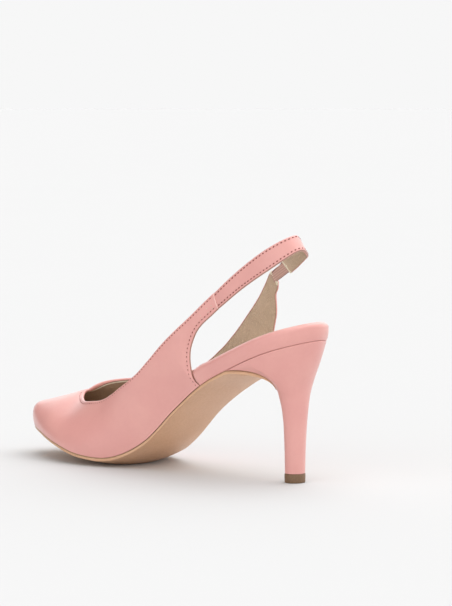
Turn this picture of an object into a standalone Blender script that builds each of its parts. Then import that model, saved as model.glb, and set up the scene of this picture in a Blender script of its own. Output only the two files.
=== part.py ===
"""Slingback pump, left shoe, with a pointed toe and a slender high heel.

Metres, +Z up. The toe points along +X, the outer side of the foot is +Y and the
floor is the plane Z = 0. Shapes are made with the back of the seat at X = 0, then
an empty brings the middle of the heel tip to the origin. The feather line is the
edge where upper and sole meet, and most places are measured from it.
"""
import math

import bpy
import numpy as np

MM = 0.001

# Driving sizes
LENGTH = 232 * MM            # back of the seat to the toe tip, along the floor
BALL_WIDTH = 73 * MM         # feather line to feather line across the ball
HEEL_RISE = 77 * MM          # seat back above the ball, along the feather line
BALL_LIFT = 6.4 * MM         # feather line above the floor at the ball
TOE_SPRING = 11.6 * MM       # feather line at the toe above the ball
TOE_TURN = 1.0 * MM          # how far the toe tip points to the outer side
QUARTER_HEIGHT = 60 * MM     # tallest part of the upper above the feather line
SLING_HEIGHT = 60 * MM       # top of the sling above the back of the seat
WALL = 1.8 * MM              # leather and lining of upper and sling together
ELASTIC_THICK = 1.2 * MM
FIT_GAP = 0.3 * MM           # between pieces that touch

# Sole, insole and heel
SOLE_EDGE = 2.0 * MM         # outsole at its edge
SOLE_CROWN = 4.6 * MM        # how much lower its middle hangs at the ball
SOLE_INSET = 0.4 * MM        # outsole edge inside the feather line
TONGUE_THICK = 2.0 * MM      # outsole where it turns down the heel breast
SEAT_THICK = 10.8 * MM       # covered seat board, seen as the rand
INSOLE_THICK = 3.4 * MM      # insole under the forefoot
RAND_BULGE = 1.3 * MM        # rand beyond the feather line
SEAT_DISH = 1.4 * MM         # hollow of the seat across its middle
BREAST_AT = 48.4 * MM        # front of the heel wings
STEM_TOP = 50 * MM           # where the slender stem starts to flare
TOP_PIECE = 5.4 * MM         # walking piece under the heel
TIP_WIDTH = 12.2 * MM        # stem width at the top piece
STEM_CENTRE = 18.5 * MM      # stem behind which half of it lies, at the tip
WING_SWEEP = 22 * MM         # how far the wing edge runs back before it drops
WAIST_SWEEP = 15 * MM        # how far the sides drop before they turn in

# Upper
POLE_AT = 0.957              # ribs of the toe cap meet the ridge near here
POLE_SOFT = 3 * MM
THROAT_AT = 0.860            # foot of the first rib that ends at the topline
FOOT_FLARE = math.radians(9)
TOE_FLARE = math.radians(6)  # added to it at the toe tip

SIDE_OUTER = 1
SIDE_INNER = -1
AROUND_MIN = 20 * MM


def smooth(xs, ys, where):
    """A cubic curve through the rows of a table, with one tangent at each row."""
    xs, ys = np.asarray(xs, float), np.asarray(ys, float)
    step = np.diff(xs)
    slope = np.diff(ys) / step
    tangent = np.empty_like(ys)
    tangent[0], tangent[-1] = slope[0], slope[-1]
    tangent[1:-1] = (slope[:-1] * step[1:] + slope[1:] * step[:-1]) / (step[1:] + step[:-1])
    where = np.clip(where, xs[0], xs[-1])
    i = np.clip(np.searchsorted(xs, where, side="right") - 1, 0, len(step) - 1)
    t = (where - xs[i]) / step[i]
    start = ys[i] * (1 + 2 * t) + tangent[i] * step[i] * t
    end = ys[i + 1] * (3 - 2 * t) - tangent[i + 1] * step[i] * (1 - t)
    return start * (1 - t) ** 2 + end * t ** 2


class Table:
    """Rows of shares with named columns, the first of which is read along."""

    def __init__(self, columns, rows):
        values = np.array(rows, float).T
        self.columns = dict(zip(columns, values))
        self.key = values[0]

    def read(self, column, where):
        return smooth(self.key, self.columns[column], where)


def turn_of(along):
    """Share of the length as an angle, so that round ends read smoothly."""
    return math.acos(1 - 2 * min(max(along, 0.0), 1.0))


# Half widths of the feather line, as shares of BALL_WIDTH
OUTLINE = Table(("turn", "outer", "inner"), [(turn_of(along), outer, inner) for along, outer, inner in (
    (0.00, 0.000, 0.000),
    (0.02, 0.160, 0.156),
    (0.06, 0.268, 0.264),
    (0.12, 0.332, 0.332),
    (0.20, 0.353, 0.349),
    (0.30, 0.340, 0.321),
    (0.40, 0.321, 0.272),
    (0.50, 0.348, 0.290),
    (0.60, 0.416, 0.404),
    (0.68, 0.468, 0.495),
    (0.76, 0.468, 0.522),
    (0.84, 0.403, 0.466),
    (0.91, 0.295, 0.359),
    (0.96, 0.186, 0.238),
    (0.99, 0.088, 0.118),
    (1.00, 0.000, 0.000))])

# Height of the feather line: shares of HEEL_RISE and of TOE_SPRING above the ball
PROFILE = Table(("along", "rise", "spring"), (
    (0.0, 1.000, 0.0),
    (0.1, 0.900, 0.0),
    (0.2, 0.773, 0.0),
    (0.3, 0.631, 0.0),
    (0.4, 0.417, 0.0),
    (0.5, 0.148, 0.0),
    (0.6, 0.004, 0.0),
    (0.7, 0.000, 0.02),
    (0.8, 0.000, 0.45),
    (0.9, 0.000, 0.86),
    (1.0, 0.000, 1.00)))

# Ridge of the closed toe: along LENGTH, across BALL_WIDTH, up QUARTER_HEIGHT, and
# how far the ribs below it run straight at foot and top, as shares of their chord
RIDGE = Table(("along", "across", "up", "foot_reach", "top_reach"), (
    (0.849, -0.088, 0.426, 0.34, 0.24),
    (0.875, -0.079, 0.387, 0.36, 0.26),
    (0.895, -0.063, 0.351, 0.38, 0.28),
    (0.912, -0.049, 0.324, 0.42, 0.32),
    (0.929, -0.036, 0.299, 0.46, 0.36),
    (0.957, -0.016, 0.263, 0.58, 0.48),
    (1.000, 0.000, 0.240, 0.70, 0.60)))

RIB_COLUMNS = ("foot", "fan", "top_along", "top_across", "top_up", "lean")

# Ribs of the outer side, from the quarter to the throat. The fan tips the foot of a
# rib forward and the lean tips its top inward, both in degrees from upright.
OUTER_RIBS = Table(RIB_COLUMNS, (
    (0.306, 72, 0.435, 0.397, 0.726, 8),
    (0.335, 55, 0.457, 0.401, 0.725, 8),
    (0.370, 38, 0.481, 0.401, 0.725, 8),
    (0.420, 25, 0.511, 0.400, 0.709, 10),
    (0.470, 15, 0.543, 0.396, 0.695, 12),
    (0.520, 8, 0.578, 0.385, 0.677, 16),
    (0.570, 4, 0.612, 0.369, 0.636, 20),
    (0.620, 2, 0.644, 0.348, 0.588, 25),
    (0.665, 1, 0.677, 0.323, 0.547, 31),
    (0.710, 0, 0.716, 0.290, 0.510, 38),
    (0.750, 0, 0.751, 0.243, 0.466, 45),
    (0.780, 0, 0.784, 0.160, 0.428, 50),
    (0.800, 0, 0.802, 0.110, 0.421, 54),
    (0.818, 0, 0.819, 0.060, 0.412, 59),
    (0.832, 0, 0.834, 0.014, 0.405, 65),
    (0.845, 0, 0.845, -0.030, 0.406, 72),
    (0.853, 0, 0.848, -0.060, 0.414, 77),
    (0.860, 0, 0.849, -0.088, 0.426, 82)))

# Ribs of the inner side, from the quarter to the throat
INNER_RIBS = Table(RIB_COLUMNS, (
    (0.262, 32, 0.336, 0.350, 0.723, 7),
    (0.290, 25, 0.362, 0.355, 0.685, 7),
    (0.330, 19, 0.390, 0.360, 0.657, 6),
    (0.370, 14, 0.420, 0.367, 0.650, 5),
    (0.420, 10, 0.457, 0.377, 0.684, 5),
    (0.470, 7, 0.500, 0.385, 0.732, 5),
    (0.520, 4, 0.543, 0.389, 0.770, 8),
    (0.570, 3, 0.586, 0.390, 0.790, 12),
    (0.620, 2, 0.631, 0.382, 0.757, 17),
    (0.665, 1, 0.672, 0.367, 0.726, 22),
    (0.710, 0, 0.713, 0.347, 0.695, 27),
    (0.750, 0, 0.750, 0.318, 0.657, 32),
    (0.785, 0, 0.784, 0.282, 0.609, 38),
    (0.808, 0, 0.808, 0.249, 0.575, 45),
    (0.827, 0, 0.827, 0.212, 0.530, 54),
    (0.841, 0, 0.838, 0.175, 0.492, 62),
    (0.850, 0, 0.846, 0.137, 0.459, 70),
    (0.856, 0, 0.849, 0.110, 0.439, 76),
    (0.860, 0, 0.849, 0.088, 0.426, 82)))

TAB_COLUMNS = ("step", "foot_along", "foot_across", "foot_up", "fan",
               "top_along", "top_across", "top_up")

# Ribs of the outer tab, whose feet climb its rear edge to the sling seam
OUTER_TAB = Table(TAB_COLUMNS, (
    (1, 0.316, 0.342, 0.053, 62, 0.416, 0.392, 0.724),
    (2, 0.328, 0.345, 0.147, 52, 0.397, 0.388, 0.724),
    (3, 0.335, 0.347, 0.274, 40, 0.379, 0.383, 0.726),
    (4, 0.336, 0.345, 0.393, 30, 0.364, 0.377, 0.729),
    (5, 0.330, 0.342, 0.486, 24, 0.351, 0.369, 0.733),
    (6, 0.320, 0.338, 0.546, 26, 0.338, 0.362, 0.739),
    (7, 0.305, 0.332, 0.585, 25, 0.321, 0.349, 0.757),
    (8, 0.284, 0.319, 0.599, 25, 0.302, 0.331, 0.784),
    (9, 0.267, 0.305, 0.621, 26, 0.284, 0.313, 0.810),
    (10, 0.251, 0.292, 0.659, 25, 0.268, 0.296, 0.836)))

# Ribs of the inner tab, which climbs to the elastic
INNER_TAB = Table(TAB_COLUMNS, (
    (1, 0.253, 0.347, 0.109, 30, 0.319, 0.346, 0.750),
    (2, 0.250, 0.351, 0.235, 30, 0.304, 0.342, 0.781),
    (3, 0.247, 0.351, 0.373, 29, 0.291, 0.338, 0.813),
    (4, 0.235, 0.342, 0.527, 33, 0.276, 0.331, 0.863),
    (5, 0.233, 0.332, 0.640, 30, 0.265, 0.323, 0.899),
    (6, 0.231, 0.321, 0.717, 30, 0.256, 0.312, 0.924),
    (7, 0.222, 0.312, 0.754, 32, 0.246, 0.296, 0.949),
    (8, 0.213, 0.286, 0.810, 38, 0.236, 0.284, 0.963)))

# Lower and upper edge of the sling from the outer seam, round the back, to the
# elastic: along LENGTH, across BALL_WIDTH, up SLING_HEIGHT above the seat back
SLING = Table(("step", "low_along", "low_across", "low_up", "top_along", "top_across", "top_up"), (
    (1, 0.218, 0.271, 0.380, 0.243, 0.277, 0.513),
    (2, 0.190, 0.258, 0.462, 0.216, 0.258, 0.603),
    (3, 0.162, 0.245, 0.533, 0.188, 0.238, 0.690),
    (4, 0.134, 0.232, 0.602, 0.162, 0.219, 0.765),
    (5, 0.108, 0.214, 0.663, 0.138, 0.200, 0.830),
    (6, 0.086, 0.186, 0.725, 0.116, 0.174, 0.885),
    (7, 0.069, 0.148, 0.777, 0.099, 0.140, 0.930),
    (8, 0.056, 0.099, 0.825, 0.086, 0.096, 0.965),
    (9, 0.049, 0.048, 0.850, 0.079, 0.048, 0.988),
    (10, 0.047, 0.000, 0.848, 0.077, 0.000, 0.997),
    (11, 0.051, -0.044, 0.820, 0.080, -0.038, 0.980),
    (12, 0.059, -0.089, 0.792, 0.087, -0.079, 0.953),
    (13, 0.072, -0.134, 0.775, 0.099, -0.121, 0.930),
    (14, 0.090, -0.175, 0.750, 0.115, -0.162, 0.902),
    (15, 0.110, -0.205, 0.710, 0.136, -0.195, 0.860),
    (16, 0.134, -0.233, 0.658, 0.162, -0.225, 0.802),
    (17, 0.161, -0.253, 0.598, 0.194, -0.252, 0.720)))

# Outsole below the feather line: its edge as a share of SOLE_EDGE, and how much
# lower its middle hangs as a share of SOLE_CROWN
SOLE = Table(("along", "edge", "crown"), (
    (0.20, 1.00, 0.40),
    (0.40, 1.00, 0.45),
    (0.60, 1.00, 0.92),
    (0.75, 1.00, 1.00),
    (0.85, 0.85, 0.50),
    (0.93, 0.72, 0.15),
    (1.00, 0.65, 0.00)))

# Section of the stem: up STEM_TOP, the rest as shares of TIP_WIDTH
STEM = Table(("up", "centre", "half_width", "back", "front"), (
    (0.00, 0.000, 0.500, 0.467, 0.395),
    (0.24, -0.008, 0.510, 0.480, 0.410),
    (0.48, -0.016, 0.545, 0.500, 0.435),
    (0.72, -0.024, 0.610, 0.540, 0.480),
    (0.86, -0.024, 0.668, 0.590, 0.560),
    (1.00, -0.008, 0.754, 0.664, 0.700)))
STEM_FRONT_POWER = 2.4
WING_ANGLE = math.radians(52)

# Sampling
SOLE_STATIONS = 40
SEAT_STATIONS = 13
RAND_ENDS = (0.242, 0.247, 0.252, 0.257, 0.296, 0.301, 0.306, 0.311, 0.316, 0.321, 0.326, 0.331)
COLUMNS = 10
RIB_STEPS = 10


def material(name, colour, roughness):
    made = bpy.data.materials.new(name)
    made.use_nodes = True
    shader = made.node_tree.nodes["Principled BSDF"]
    shader.inputs["Base Color"].default_value = (*colour, 1.0)
    shader.inputs["Roughness"].default_value = roughness
    shader.inputs["Metallic"].default_value = 0.0
    return made


def mesh_object(name, points, faces, finish):
    """An object from faces of points, with equal points welded into one vertex."""
    index, vertices, kept = {}, [], []
    for face in faces:
        ring = []
        for corner in face:
            point = points[corner]
            key = tuple(int(round(value / (0.001 * MM))) for value in point)
            if key not in index:
                index[key] = len(vertices)
                vertices.append(tuple(point))
            if index[key] not in ring:
                ring.append(index[key])
        if len(ring) > 2:
            kept.append(ring)
    mesh = bpy.data.meshes.new(name)
    mesh.from_pydata(vertices, [], kept)
    mesh.update()
    mesh.shade_smooth()
    mesh.set_sharp_from_angle(angle=math.radians(40))
    made = bpy.data.objects.new(name, mesh)
    made.data.materials.append(finish)
    bpy.context.scene.collection.objects.link(made)
    return made


def grid_faces(rows, columns, closed=False):
    """Faces of a grid stored row by row, its last column joined to the first if closed."""
    last = columns if closed else columns - 1
    faces = []
    for r in range(rows - 1):
        for c in range(last):
            d = (c + 1) % columns
            faces.append((r * columns + c, r * columns + d, (r + 1) * columns + d, (r + 1) * columns + c))
    return faces


def sheet_object(name, grid, thickness, finish):
    """A curved sheet whose grid is its outer face, given its thickness inwards."""
    rows, columns = grid.shape[:2]
    made = mesh_object(name, grid.reshape(-1, 3), grid_faces(rows, columns), finish)
    wall = made.modifiers.new("wall", "SOLIDIFY")
    wall.thickness = thickness
    wall.offset = -1
    wall.use_even_offset = True
    wall.use_rim = True
    return made


def body_object(name, rings, finish, capped=False):
    """A solid through closed rings of points, whose end rings collapse or are capped."""
    rows, columns = rings.shape[:2]
    faces = grid_faces(rows, columns, closed=True)
    if capped:
        faces.append(tuple(range(columns))[::-1])
        faces.append(tuple(range((rows - 1) * columns, rows * columns)))
    return mesh_object(name, rings.reshape(-1, 3), faces, finish)


def unit(vector):
    return vector / np.linalg.norm(vector)


def soft_step(value, start, end):
    t = min(max((value - start) / (end - start), 0.0), 1.0)
    return t * t * (3 - 2 * t)


def line_height(along):
    """Height of the feather line at a share of the length."""
    rise = HEEL_RISE * PROFILE.read("rise", along)
    return BALL_LIFT + rise + TOE_SPRING * PROFILE.read("spring", along)


def toe_shift(along):
    bend = (along - PROFILE.key[6]) / (1 - PROFILE.key[6])
    return TOE_TURN * max(bend, 0.0) ** 2


def outline_point(turn, side):
    """A point of the feather line in plan, by its angle round the length."""
    along = (1 - math.cos(turn)) / 2
    width = OUTLINE.read("outer" if side > 0 else "inner", turn) * BALL_WIDTH
    return np.array([along * LENGTH, side * width + toe_shift(along)])


def outline_normal(turn, side):
    """The direction straight out of the feather line in plan."""
    step = 0.01
    ahead = outline_point(min(turn + step, math.pi), side)
    behind = outline_point(max(turn - step, 0.0), side)
    run = unit(ahead - behind)
    if turn <= step or turn >= math.pi - step:
        return np.array([-1.0 if turn <= step else 1.0, 0.0])
    return side * np.array([-run[1], run[0]])


def feather(along, side):
    flat = outline_point(turn_of(along), side)
    return np.array([flat[0], flat[1], line_height(along)])


def placed(along, across, up):
    """A point of the upper from its shares, its height measured from the feather line."""
    return np.array([along * LENGTH, across * BALL_WIDTH, line_height(along) + up * QUARTER_HEIGHT])


def ridge_point(along):
    return placed(along, RIDGE.read("across", along), RIDGE.read("up", along))


def rib(foot, top, foot_run, top_run, foot_reach, top_reach):
    """A cubic arch from foot to top, leaving and arriving along the two runs."""
    chord = np.linalg.norm(top - foot)
    first = foot + foot_run * foot_reach * chord
    second = top - top_run * top_reach * chord
    t = np.linspace(0, 1, RIB_STEPS)[:, None]
    return (foot * (1 - t) ** 3 + first * 3 * t * (1 - t) ** 2
            + second * 3 * t ** 2 * (1 - t) + top * t ** 3)


def foot_run(along, side, fan=0.0):
    """Direction of the wall at the feather line, flared out and fanned forward."""
    out = outline_normal(turn_of(along), side)
    ahead = np.array([abs(out[1]), -math.copysign(out[0], out[0] * out[1]), 0.0])
    flare = FOOT_FLARE + TOE_FLARE * soft_step(along, THROAT_AT, 1.0)
    upright = np.array([*(out * math.sin(flare)), math.cos(flare)])
    return unit(upright * math.cos(fan) + ahead * math.sin(fan))


def closed_rib(along, side):
    """A rib of the closed toe, which ends on the ridge."""
    foot = feather(along, side)
    reach = POLE_AT * LENGTH - foot[0]
    meet = (POLE_AT * LENGTH - POLE_SOFT * math.log1p(math.exp(reach / POLE_SOFT))) / LENGTH
    top = ridge_point(meet)
    step = 0.004
    slope = (ridge_point(meet + step)[2] - ridge_point(meet - step)[2]) / (2 * step * LENGTH)
    flat = unit((top - foot)[:2])
    run = unit(np.array([flat[0], flat[1], slope * flat[0]]))
    reaches = RIDGE.read("foot_reach", along), RIDGE.read("top_reach", along)
    return rib(foot, top, foot_run(along, side), run, *reaches)


def top_run(foot, top, side, lean):
    """Direction of the wall at its top edge, leaning in by an angle from upright."""
    inward = side * (foot[1] - top[1])
    flat = unit(np.array([top[0] - foot[0], -side * max(inward, AROUND_MIN)]))
    return np.array([flat[0] * math.sin(lean), flat[1] * math.sin(lean), math.cos(lean)])


OPEN_REACH = (0.35, 0.33)


def open_rib(along, side):
    """A rib that ends at the topline."""
    table = OUTER_RIBS if side > 0 else INNER_RIBS
    sign = 1 if side > 0 else -1
    foot = feather(along, side)
    top = placed(table.read("top_along", along), sign * table.read("top_across", along),
                 table.read("top_up", along))
    lean, fan = math.radians(table.read("lean", along)), math.radians(table.read("fan", along))
    return rib(foot, top, foot_run(along, side, fan), top_run(foot, top, side, lean), *OPEN_REACH)


def tab_rib(step, side):
    """A rib of a tab, whose foot lies on the tab's own rear edge."""
    table = OUTER_TAB if side > 0 else INNER_TAB
    foot = placed(table.read("foot_along", step), side * table.read("foot_across", step),
                  table.read("foot_up", step))
    top = placed(table.read("top_along", step), side * table.read("top_across", step),
                 table.read("top_up", step))
    straight = unit(top - foot)
    ahead = unit(np.array([straight[0], straight[1], 0.0]))
    fan = math.radians(table.read("fan", step))
    bow = np.array([0.0, side * math.sin(FOOT_FLARE) / 2, 0.0])
    start = np.array([0.0, 0.0, math.cos(fan)]) + ahead * math.sin(fan) + bow
    return rib(foot, top, unit(start), unit(straight - bow), *OPEN_REACH)


def upper_side(side):
    """Ribs of one side from the end of its tab forward to the last one before the toe tip."""
    table, tab = (OUTER_RIBS, OUTER_TAB) if side > 0 else (INNER_RIBS, INNER_TAB)
    ribs = [tab_rib(step, side) for step in np.linspace(tab.key[-1], tab.key[0], 14)]
    ribs += [open_rib(along, side) for along in np.linspace(table.key[0], THROAT_AT, 30)]
    turns = np.linspace(turn_of(THROAT_AT), math.pi, 16)[1:-1]
    ribs += [closed_rib((1 - math.cos(turn)) / 2, side) for turn in turns]
    return ribs


def make_upper(finish):
    outer, inner = upper_side(SIDE_OUTER), upper_side(SIDE_INNER)
    ribs = outer + [closed_rib(1.0, SIDE_OUTER)] + inner[::-1]
    grid = np.array(ribs)
    return sheet_object("upper", grid, WALL, finish)


def sling_grid():
    """Rows of points across the sling, from the outer seam to the elastic."""
    seam = tab_rib(OUTER_TAB.key[-1], SIDE_OUTER)
    clear = np.array([-1.0, 0.0, 0.7])
    start = seam[[0, -1]] + unit(clear) * FIT_GAP
    rows = [start]
    seat = line_height(0.0)
    for step in np.linspace(SLING.key[0], SLING.key[-1], 34):
        edges = [np.array([SLING.read(edge + "_along", step) * LENGTH,
                           SLING.read(edge + "_across", step) * BALL_WIDTH,
                           seat + SLING.read(edge + "_up", step) * SLING_HEIGHT])
                 for edge in ("low", "top")]
        rows.append(np.array(edges))
    shares = np.linspace(0, 1, 4)[:, None]
    return np.array([low * (1 - shares) + top * shares for low, top in rows])


def make_sling(finish):
    return sheet_object("sling_strap", sling_grid()[::-1], WALL, finish)


ELASTIC_INSET = 0.12         # elastic edge inside the sling edge, as a share of its width


def make_elastic(finish):
    """The short elastic between the sling's end and the inner tab."""
    sling_end = sling_grid()[-1]
    tab_end = tab_rib(INNER_TAB.key[-1], SIDE_INNER)
    ends = []
    for low, top, other in ((sling_end[0], sling_end[-1], tab_end[0]), (tab_end[0], tab_end[-1], sling_end[0])):
        clear = unit(other - low) * FIT_GAP
        sunk = np.array([0.0, (WALL - ELASTIC_THICK) / 2, 0.0])
        low_in = low + (top - low) * ELASTIC_INSET + clear + sunk
        top_in = top - (top - low) * ELASTIC_INSET + clear + sunk
        ends.append((low_in, top_in))
    across = np.linspace(0, 1, 4)[:, None]
    rows = []
    for share in np.linspace(0, 1, 6):
        low = ends[0][0] * (1 - share) + ends[1][0] * share
        top = ends[0][1] * (1 - share) + ends[1][1] * share
        rows.append(low * (1 - across) + top * across)
    return sheet_object("elastic", np.array(rows)[::-1], ELASTIC_THICK, finish)


def even_turns(first, last, count):
    return np.linspace(turn_of(first), turn_of(last), count)


# Side of the insole: share of its thickness, share of RAND_BULGE
RAND_SIDE = Table(("up", "out"), (
    (0.00, 0.00),
    (0.25, 0.75),
    (0.55, 1.00),
    (0.85, 0.62),
    (1.00, -0.90)))


def stations(first, last):
    """Angles of the shared stations of sole, insole and heel between two shares."""
    breast = BREAST_AT / LENGTH
    turns = list(even_turns(0.0, breast, SEAT_STATIONS))
    turns += list(even_turns(breast, 1.0, SOLE_STATIONS))[1:]
    turns += [turn_of(share) for share in RAND_ENDS]
    turns.sort()
    slack = 1e-6
    return [turn for turn in turns if turn_of(first) - slack <= turn <= turn_of(last) + slack]


def insole_edge(turn, side, level):
    """A point of the insole's side, which sits inside the upper where that covers it."""
    along = (1 - math.cos(turn)) / 2
    thick = SEAT_THICK + (INSOLE_THICK - SEAT_THICK) * soft_step(along, 0.33, 0.46)
    tab = OUTER_TAB if side > 0 else INNER_TAB
    lowest = (OUTER_RIBS if side > 0 else INNER_RIBS).key[0]
    edge_at = np.interp(level * SEAT_THICK / QUARTER_HEIGHT, [0.0, *tab.columns["foot_up"]],
                        [lowest, *tab.columns["foot_along"]])
    inside = soft_step(along, edge_at - 0.009, edge_at - 0.003)
    free = RAND_BULGE * RAND_SIDE.read("out", level)
    out = free * (1 - inside) - (WALL + 2 * FIT_GAP + 0.3 * MM * level) * inside
    flat = outline_point(turn, side) + outline_normal(turn, side) * out
    return np.array([flat[0], flat[1], line_height(flat[0] / LENGTH) + thick * level])


def make_insole(finish):
    """Seat board and insole in one, thick and covered at the seat, thin in the forepart."""
    levels = RAND_SIDE.key
    rings = []
    for turn in stations(0.0, 1.0):
        outer = [insole_edge(turn, SIDE_OUTER, level) for level in levels]
        inner = [insole_edge(turn, SIDE_INNER, level) for level in levels]
        shares = np.linspace(0, 1, COLUMNS + 1)[1:-1, None]
        under = inner[0] * (1 - shares) + outer[0] * shares
        over = outer[-1] * (1 - shares) + inner[-1] * shares
        width = np.linalg.norm(outer[-1] - inner[-1]) / BALL_WIDTH
        over[:, 2] -= SEAT_DISH * min(width / 0.5, 1.0) * (4 * shares * (1 - shares))[:, 0]
        rings.append(np.vstack([under, outer, over, inner[::-1]]))
    return body_object("insole", np.array(rings), finish)


def stem_section(height, angles):
    """Points round the stem at a height, flat-fronted and round at the back."""
    up = height / STEM_TOP
    centre = STEM_CENTRE + STEM.read("centre", up) * TIP_WIDTH
    half = STEM.read("half_width", up) * TIP_WIDTH
    back = STEM.read("back", up) * TIP_WIDTH
    front = STEM.read("front", up) * TIP_WIDTH
    points = []
    for angle in angles:
        c, s = math.cos(angle), math.sin(angle)
        if c > 0:
            size = (abs(c) ** STEM_FRONT_POWER + abs(s) ** STEM_FRONT_POWER) ** (-1 / STEM_FRONT_POWER)
            points.append((centre + front * c * size, half * s * size, height))
        else:
            points.append((centre + back * c, half * s, height))
    return np.array(points)


def heel_loop():
    """Top edge of the heel with the stem angle that each point runs down to.

    It starts at the outer wing, crosses the breast to the inner wing, and goes
    round the back of the seat to the outer wing again.
    """
    breast = BREAST_AT / LENGTH
    height = line_height(breast) - FIT_GAP
    corners = [outline_point(turn_of(breast), side) for side in (SIDE_OUTER, SIDE_INNER)]
    edge, angles = [], []
    for share in np.linspace(0, 1, COLUMNS + 1):
        flat = corners[0] * (1 - share) + corners[1] * share
        edge.append((flat[0], flat[1], height))
        angles.append(WING_ANGLE * (1 - 2 * share))
    turns = np.array(stations(0.0, breast))
    for side, order in ((SIDE_INNER, turns[-2::-1]), (SIDE_OUTER, turns[1:-1])):
        for turn in order:
            flat = outline_point(turn, side)
            along = (1 - math.cos(turn)) / 2
            edge.append((flat[0], flat[1], line_height(along) - FIT_GAP))
            angles.append(side * (math.pi - (math.pi - WING_ANGLE) * turn / turns[-1]))
    return np.array(edge), np.array(angles)


def flare_point(top, angle, t):
    """A point on the arch from the heel's top edge down to the top of the stem."""
    base = stem_section(STEM_TOP, [angle])[0]
    wing = math.exp(-((abs(angle) - WING_ANGLE) / 0.42) ** 2)
    front = 1.0 if abs(angle) <= WING_ANGLE else 0.0
    centred = front * (1 - abs(angle) / WING_ANGLE)
    inward = unit(np.array([STEM_CENTRE, 0.0]) - top[:2])
    down = np.array([inward[0] * 0.22, inward[1] * 0.30, -1.0]) * WAIST_SWEEP
    along_edge = np.array([-1.0, -0.15 * np.sign(angle), 0.10]) * WING_SWEEP
    lip = np.array([-1.0, 0.0, -0.36]) * WING_SWEEP * 0.58
    if front:
        leave = along_edge * (1 - centred) + lip * centred
    else:
        leave = along_edge * wing + down * (1 - wing)
    out = np.array([math.cos(angle), math.sin(angle)])
    rise = np.array([0.05 * out[0], 0.36 * out[1], 1.0]) * 10 * MM
    first, second = top + leave, base + rise
    return (top * (1 - t) ** 3 + first * 3 * t * (1 - t) ** 2
            + second * 3 * t ** 2 * (1 - t) + base * t ** 3)


def make_heel(finish):
    edge, angles = heel_loop()
    rings = [np.array([flare_point(top, angle, t) for top, angle in zip(edge, angles)])
             for t in np.linspace(0, 1, 11)]
    for height in np.linspace(STEM_TOP, TOP_PIECE + FIT_GAP, 7)[1:]:
        rings.append(stem_section(height, angles))
    rings = np.array(rings)
    rows, columns = rings.shape[:2]
    points = list(rings.reshape(-1, 3))
    faces = grid_faces(rows, columns, closed=True)
    faces.append(tuple(range((rows - 1) * columns, rows * columns)))
    faces += heel_top_faces(points, columns)
    return mesh_object("heel", np.array(points), faces, finish)


def heel_top_faces(points, columns):
    """Faces of the heel's top, which follows the curve of the seat."""
    outer = [0] + [columns - i for i in range(1, SEAT_STATIONS - 1)]
    inner = [COLUMNS + i for i in range(SEAT_STATIONS - 1)]
    back = COLUMNS + SEAT_STATIONS - 1
    rows = []
    for i, (left, right) in enumerate(zip(outer, inner)):
        if i == 0:
            rows.append(list(range(COLUMNS + 1)))
            continue
        row = [left]
        for share in np.linspace(0, 1, COLUMNS + 1)[1:-1]:
            row.append(len(points))
            points.append(points[left] * (1 - share) + points[right] * share)
        row.append(right)
        rows.append(row)
    faces = []
    for near, far in zip(rows[:-1], rows[1:]):
        for k in range(COLUMNS):
            faces.append((near[k], far[k], far[k + 1], near[k + 1]))
    for k in range(COLUMNS):
        faces.append((rows[-1][k], back, rows[-1][k + 1]))
    return faces


def make_top_piece(finish):
    angles = np.linspace(0, 2 * math.pi, 32, endpoint=False)
    angles = np.where(angles > math.pi, angles - 2 * math.pi, angles)
    rings = [stem_section(0.0, angles), stem_section(TOP_PIECE, angles)]
    return body_object("top_piece", np.array(rings), finish, capped=True)


def sole_section(turn):
    """Ring of the outsole at one station: its under side, then its top."""
    along = (1 - math.cos(turn)) / 2
    edges = []
    for side in (SIDE_OUTER, SIDE_INNER):
        edges.append(outline_point(turn, side) - outline_normal(turn, side) * SOLE_INSET)
    spread = np.linspace(0, 1, COLUMNS + 1)
    crown = SOLE_CROWN * SOLE.read("crown", along)
    under, over = [], []
    for share in spread:
        flat = edges[0] * (1 - share) + edges[1] * share
        top = line_height(flat[0] / LENGTH) - FIT_GAP
        drop = SOLE_EDGE * SOLE.read("edge", along) + crown * (4 * share * (1 - share))
        under.append((flat[0], flat[1], max(top - drop, 0.0)))
        over.append((flat[0], flat[1], top))
    return np.array(under + over[::-1])


def tongue_sections():
    """Rings of the outsole's tongue, which lies on the heel breast."""
    breast = BREAST_AT / LENGTH
    corners = [outline_point(turn_of(breast), side) for side in (SIDE_OUTER, SIDE_INNER)]
    height = line_height(breast) - FIT_GAP
    downs = np.linspace(0.0, 0.86, 9)
    inset = 0.045
    shares = np.linspace(inset, 1 - inset, COLUMNS + 1)
    patch = []
    for t in downs:
        row = []
        for share in shares:
            flat = corners[0] * (1 - share) + corners[1] * share
            top = np.array([flat[0], flat[1], height])
            row.append(flare_point(top, WING_ANGLE * (1 - 2 * share), t))
        patch.append(row)
    patch = np.array(patch)
    down = np.gradient(patch, axis=0)
    across = np.gradient(patch, axis=1)
    normal = np.cross(across, down)
    normal /= np.linalg.norm(normal, axis=2)[..., None]
    if normal[0, COLUMNS // 2, 2] > 0:
        normal = -normal
    over = patch + normal * FIT_GAP
    under = patch + normal * (FIT_GAP + TONGUE_THICK)
    return [np.vstack([low, high[::-1]]) for low, high in zip(under, over)]


def make_outsole(finish):
    rings = [sole_section(turn) for turn in stations(BREAST_AT / LENGTH, 1.0)[:0:-1]]
    rings = np.array(rings + tongue_sections())
    rows, columns = rings.shape[:2]
    faces = grid_faces(rows, columns, closed=True)
    last = (rows - 1) * columns
    for k in range(COLUMNS):
        faces.append((last + k, last + k + 1, last + columns - 2 - k, last + columns - 1 - k))
    return mesh_object("outsole", rings.reshape(-1, 3), faces, finish)


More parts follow.
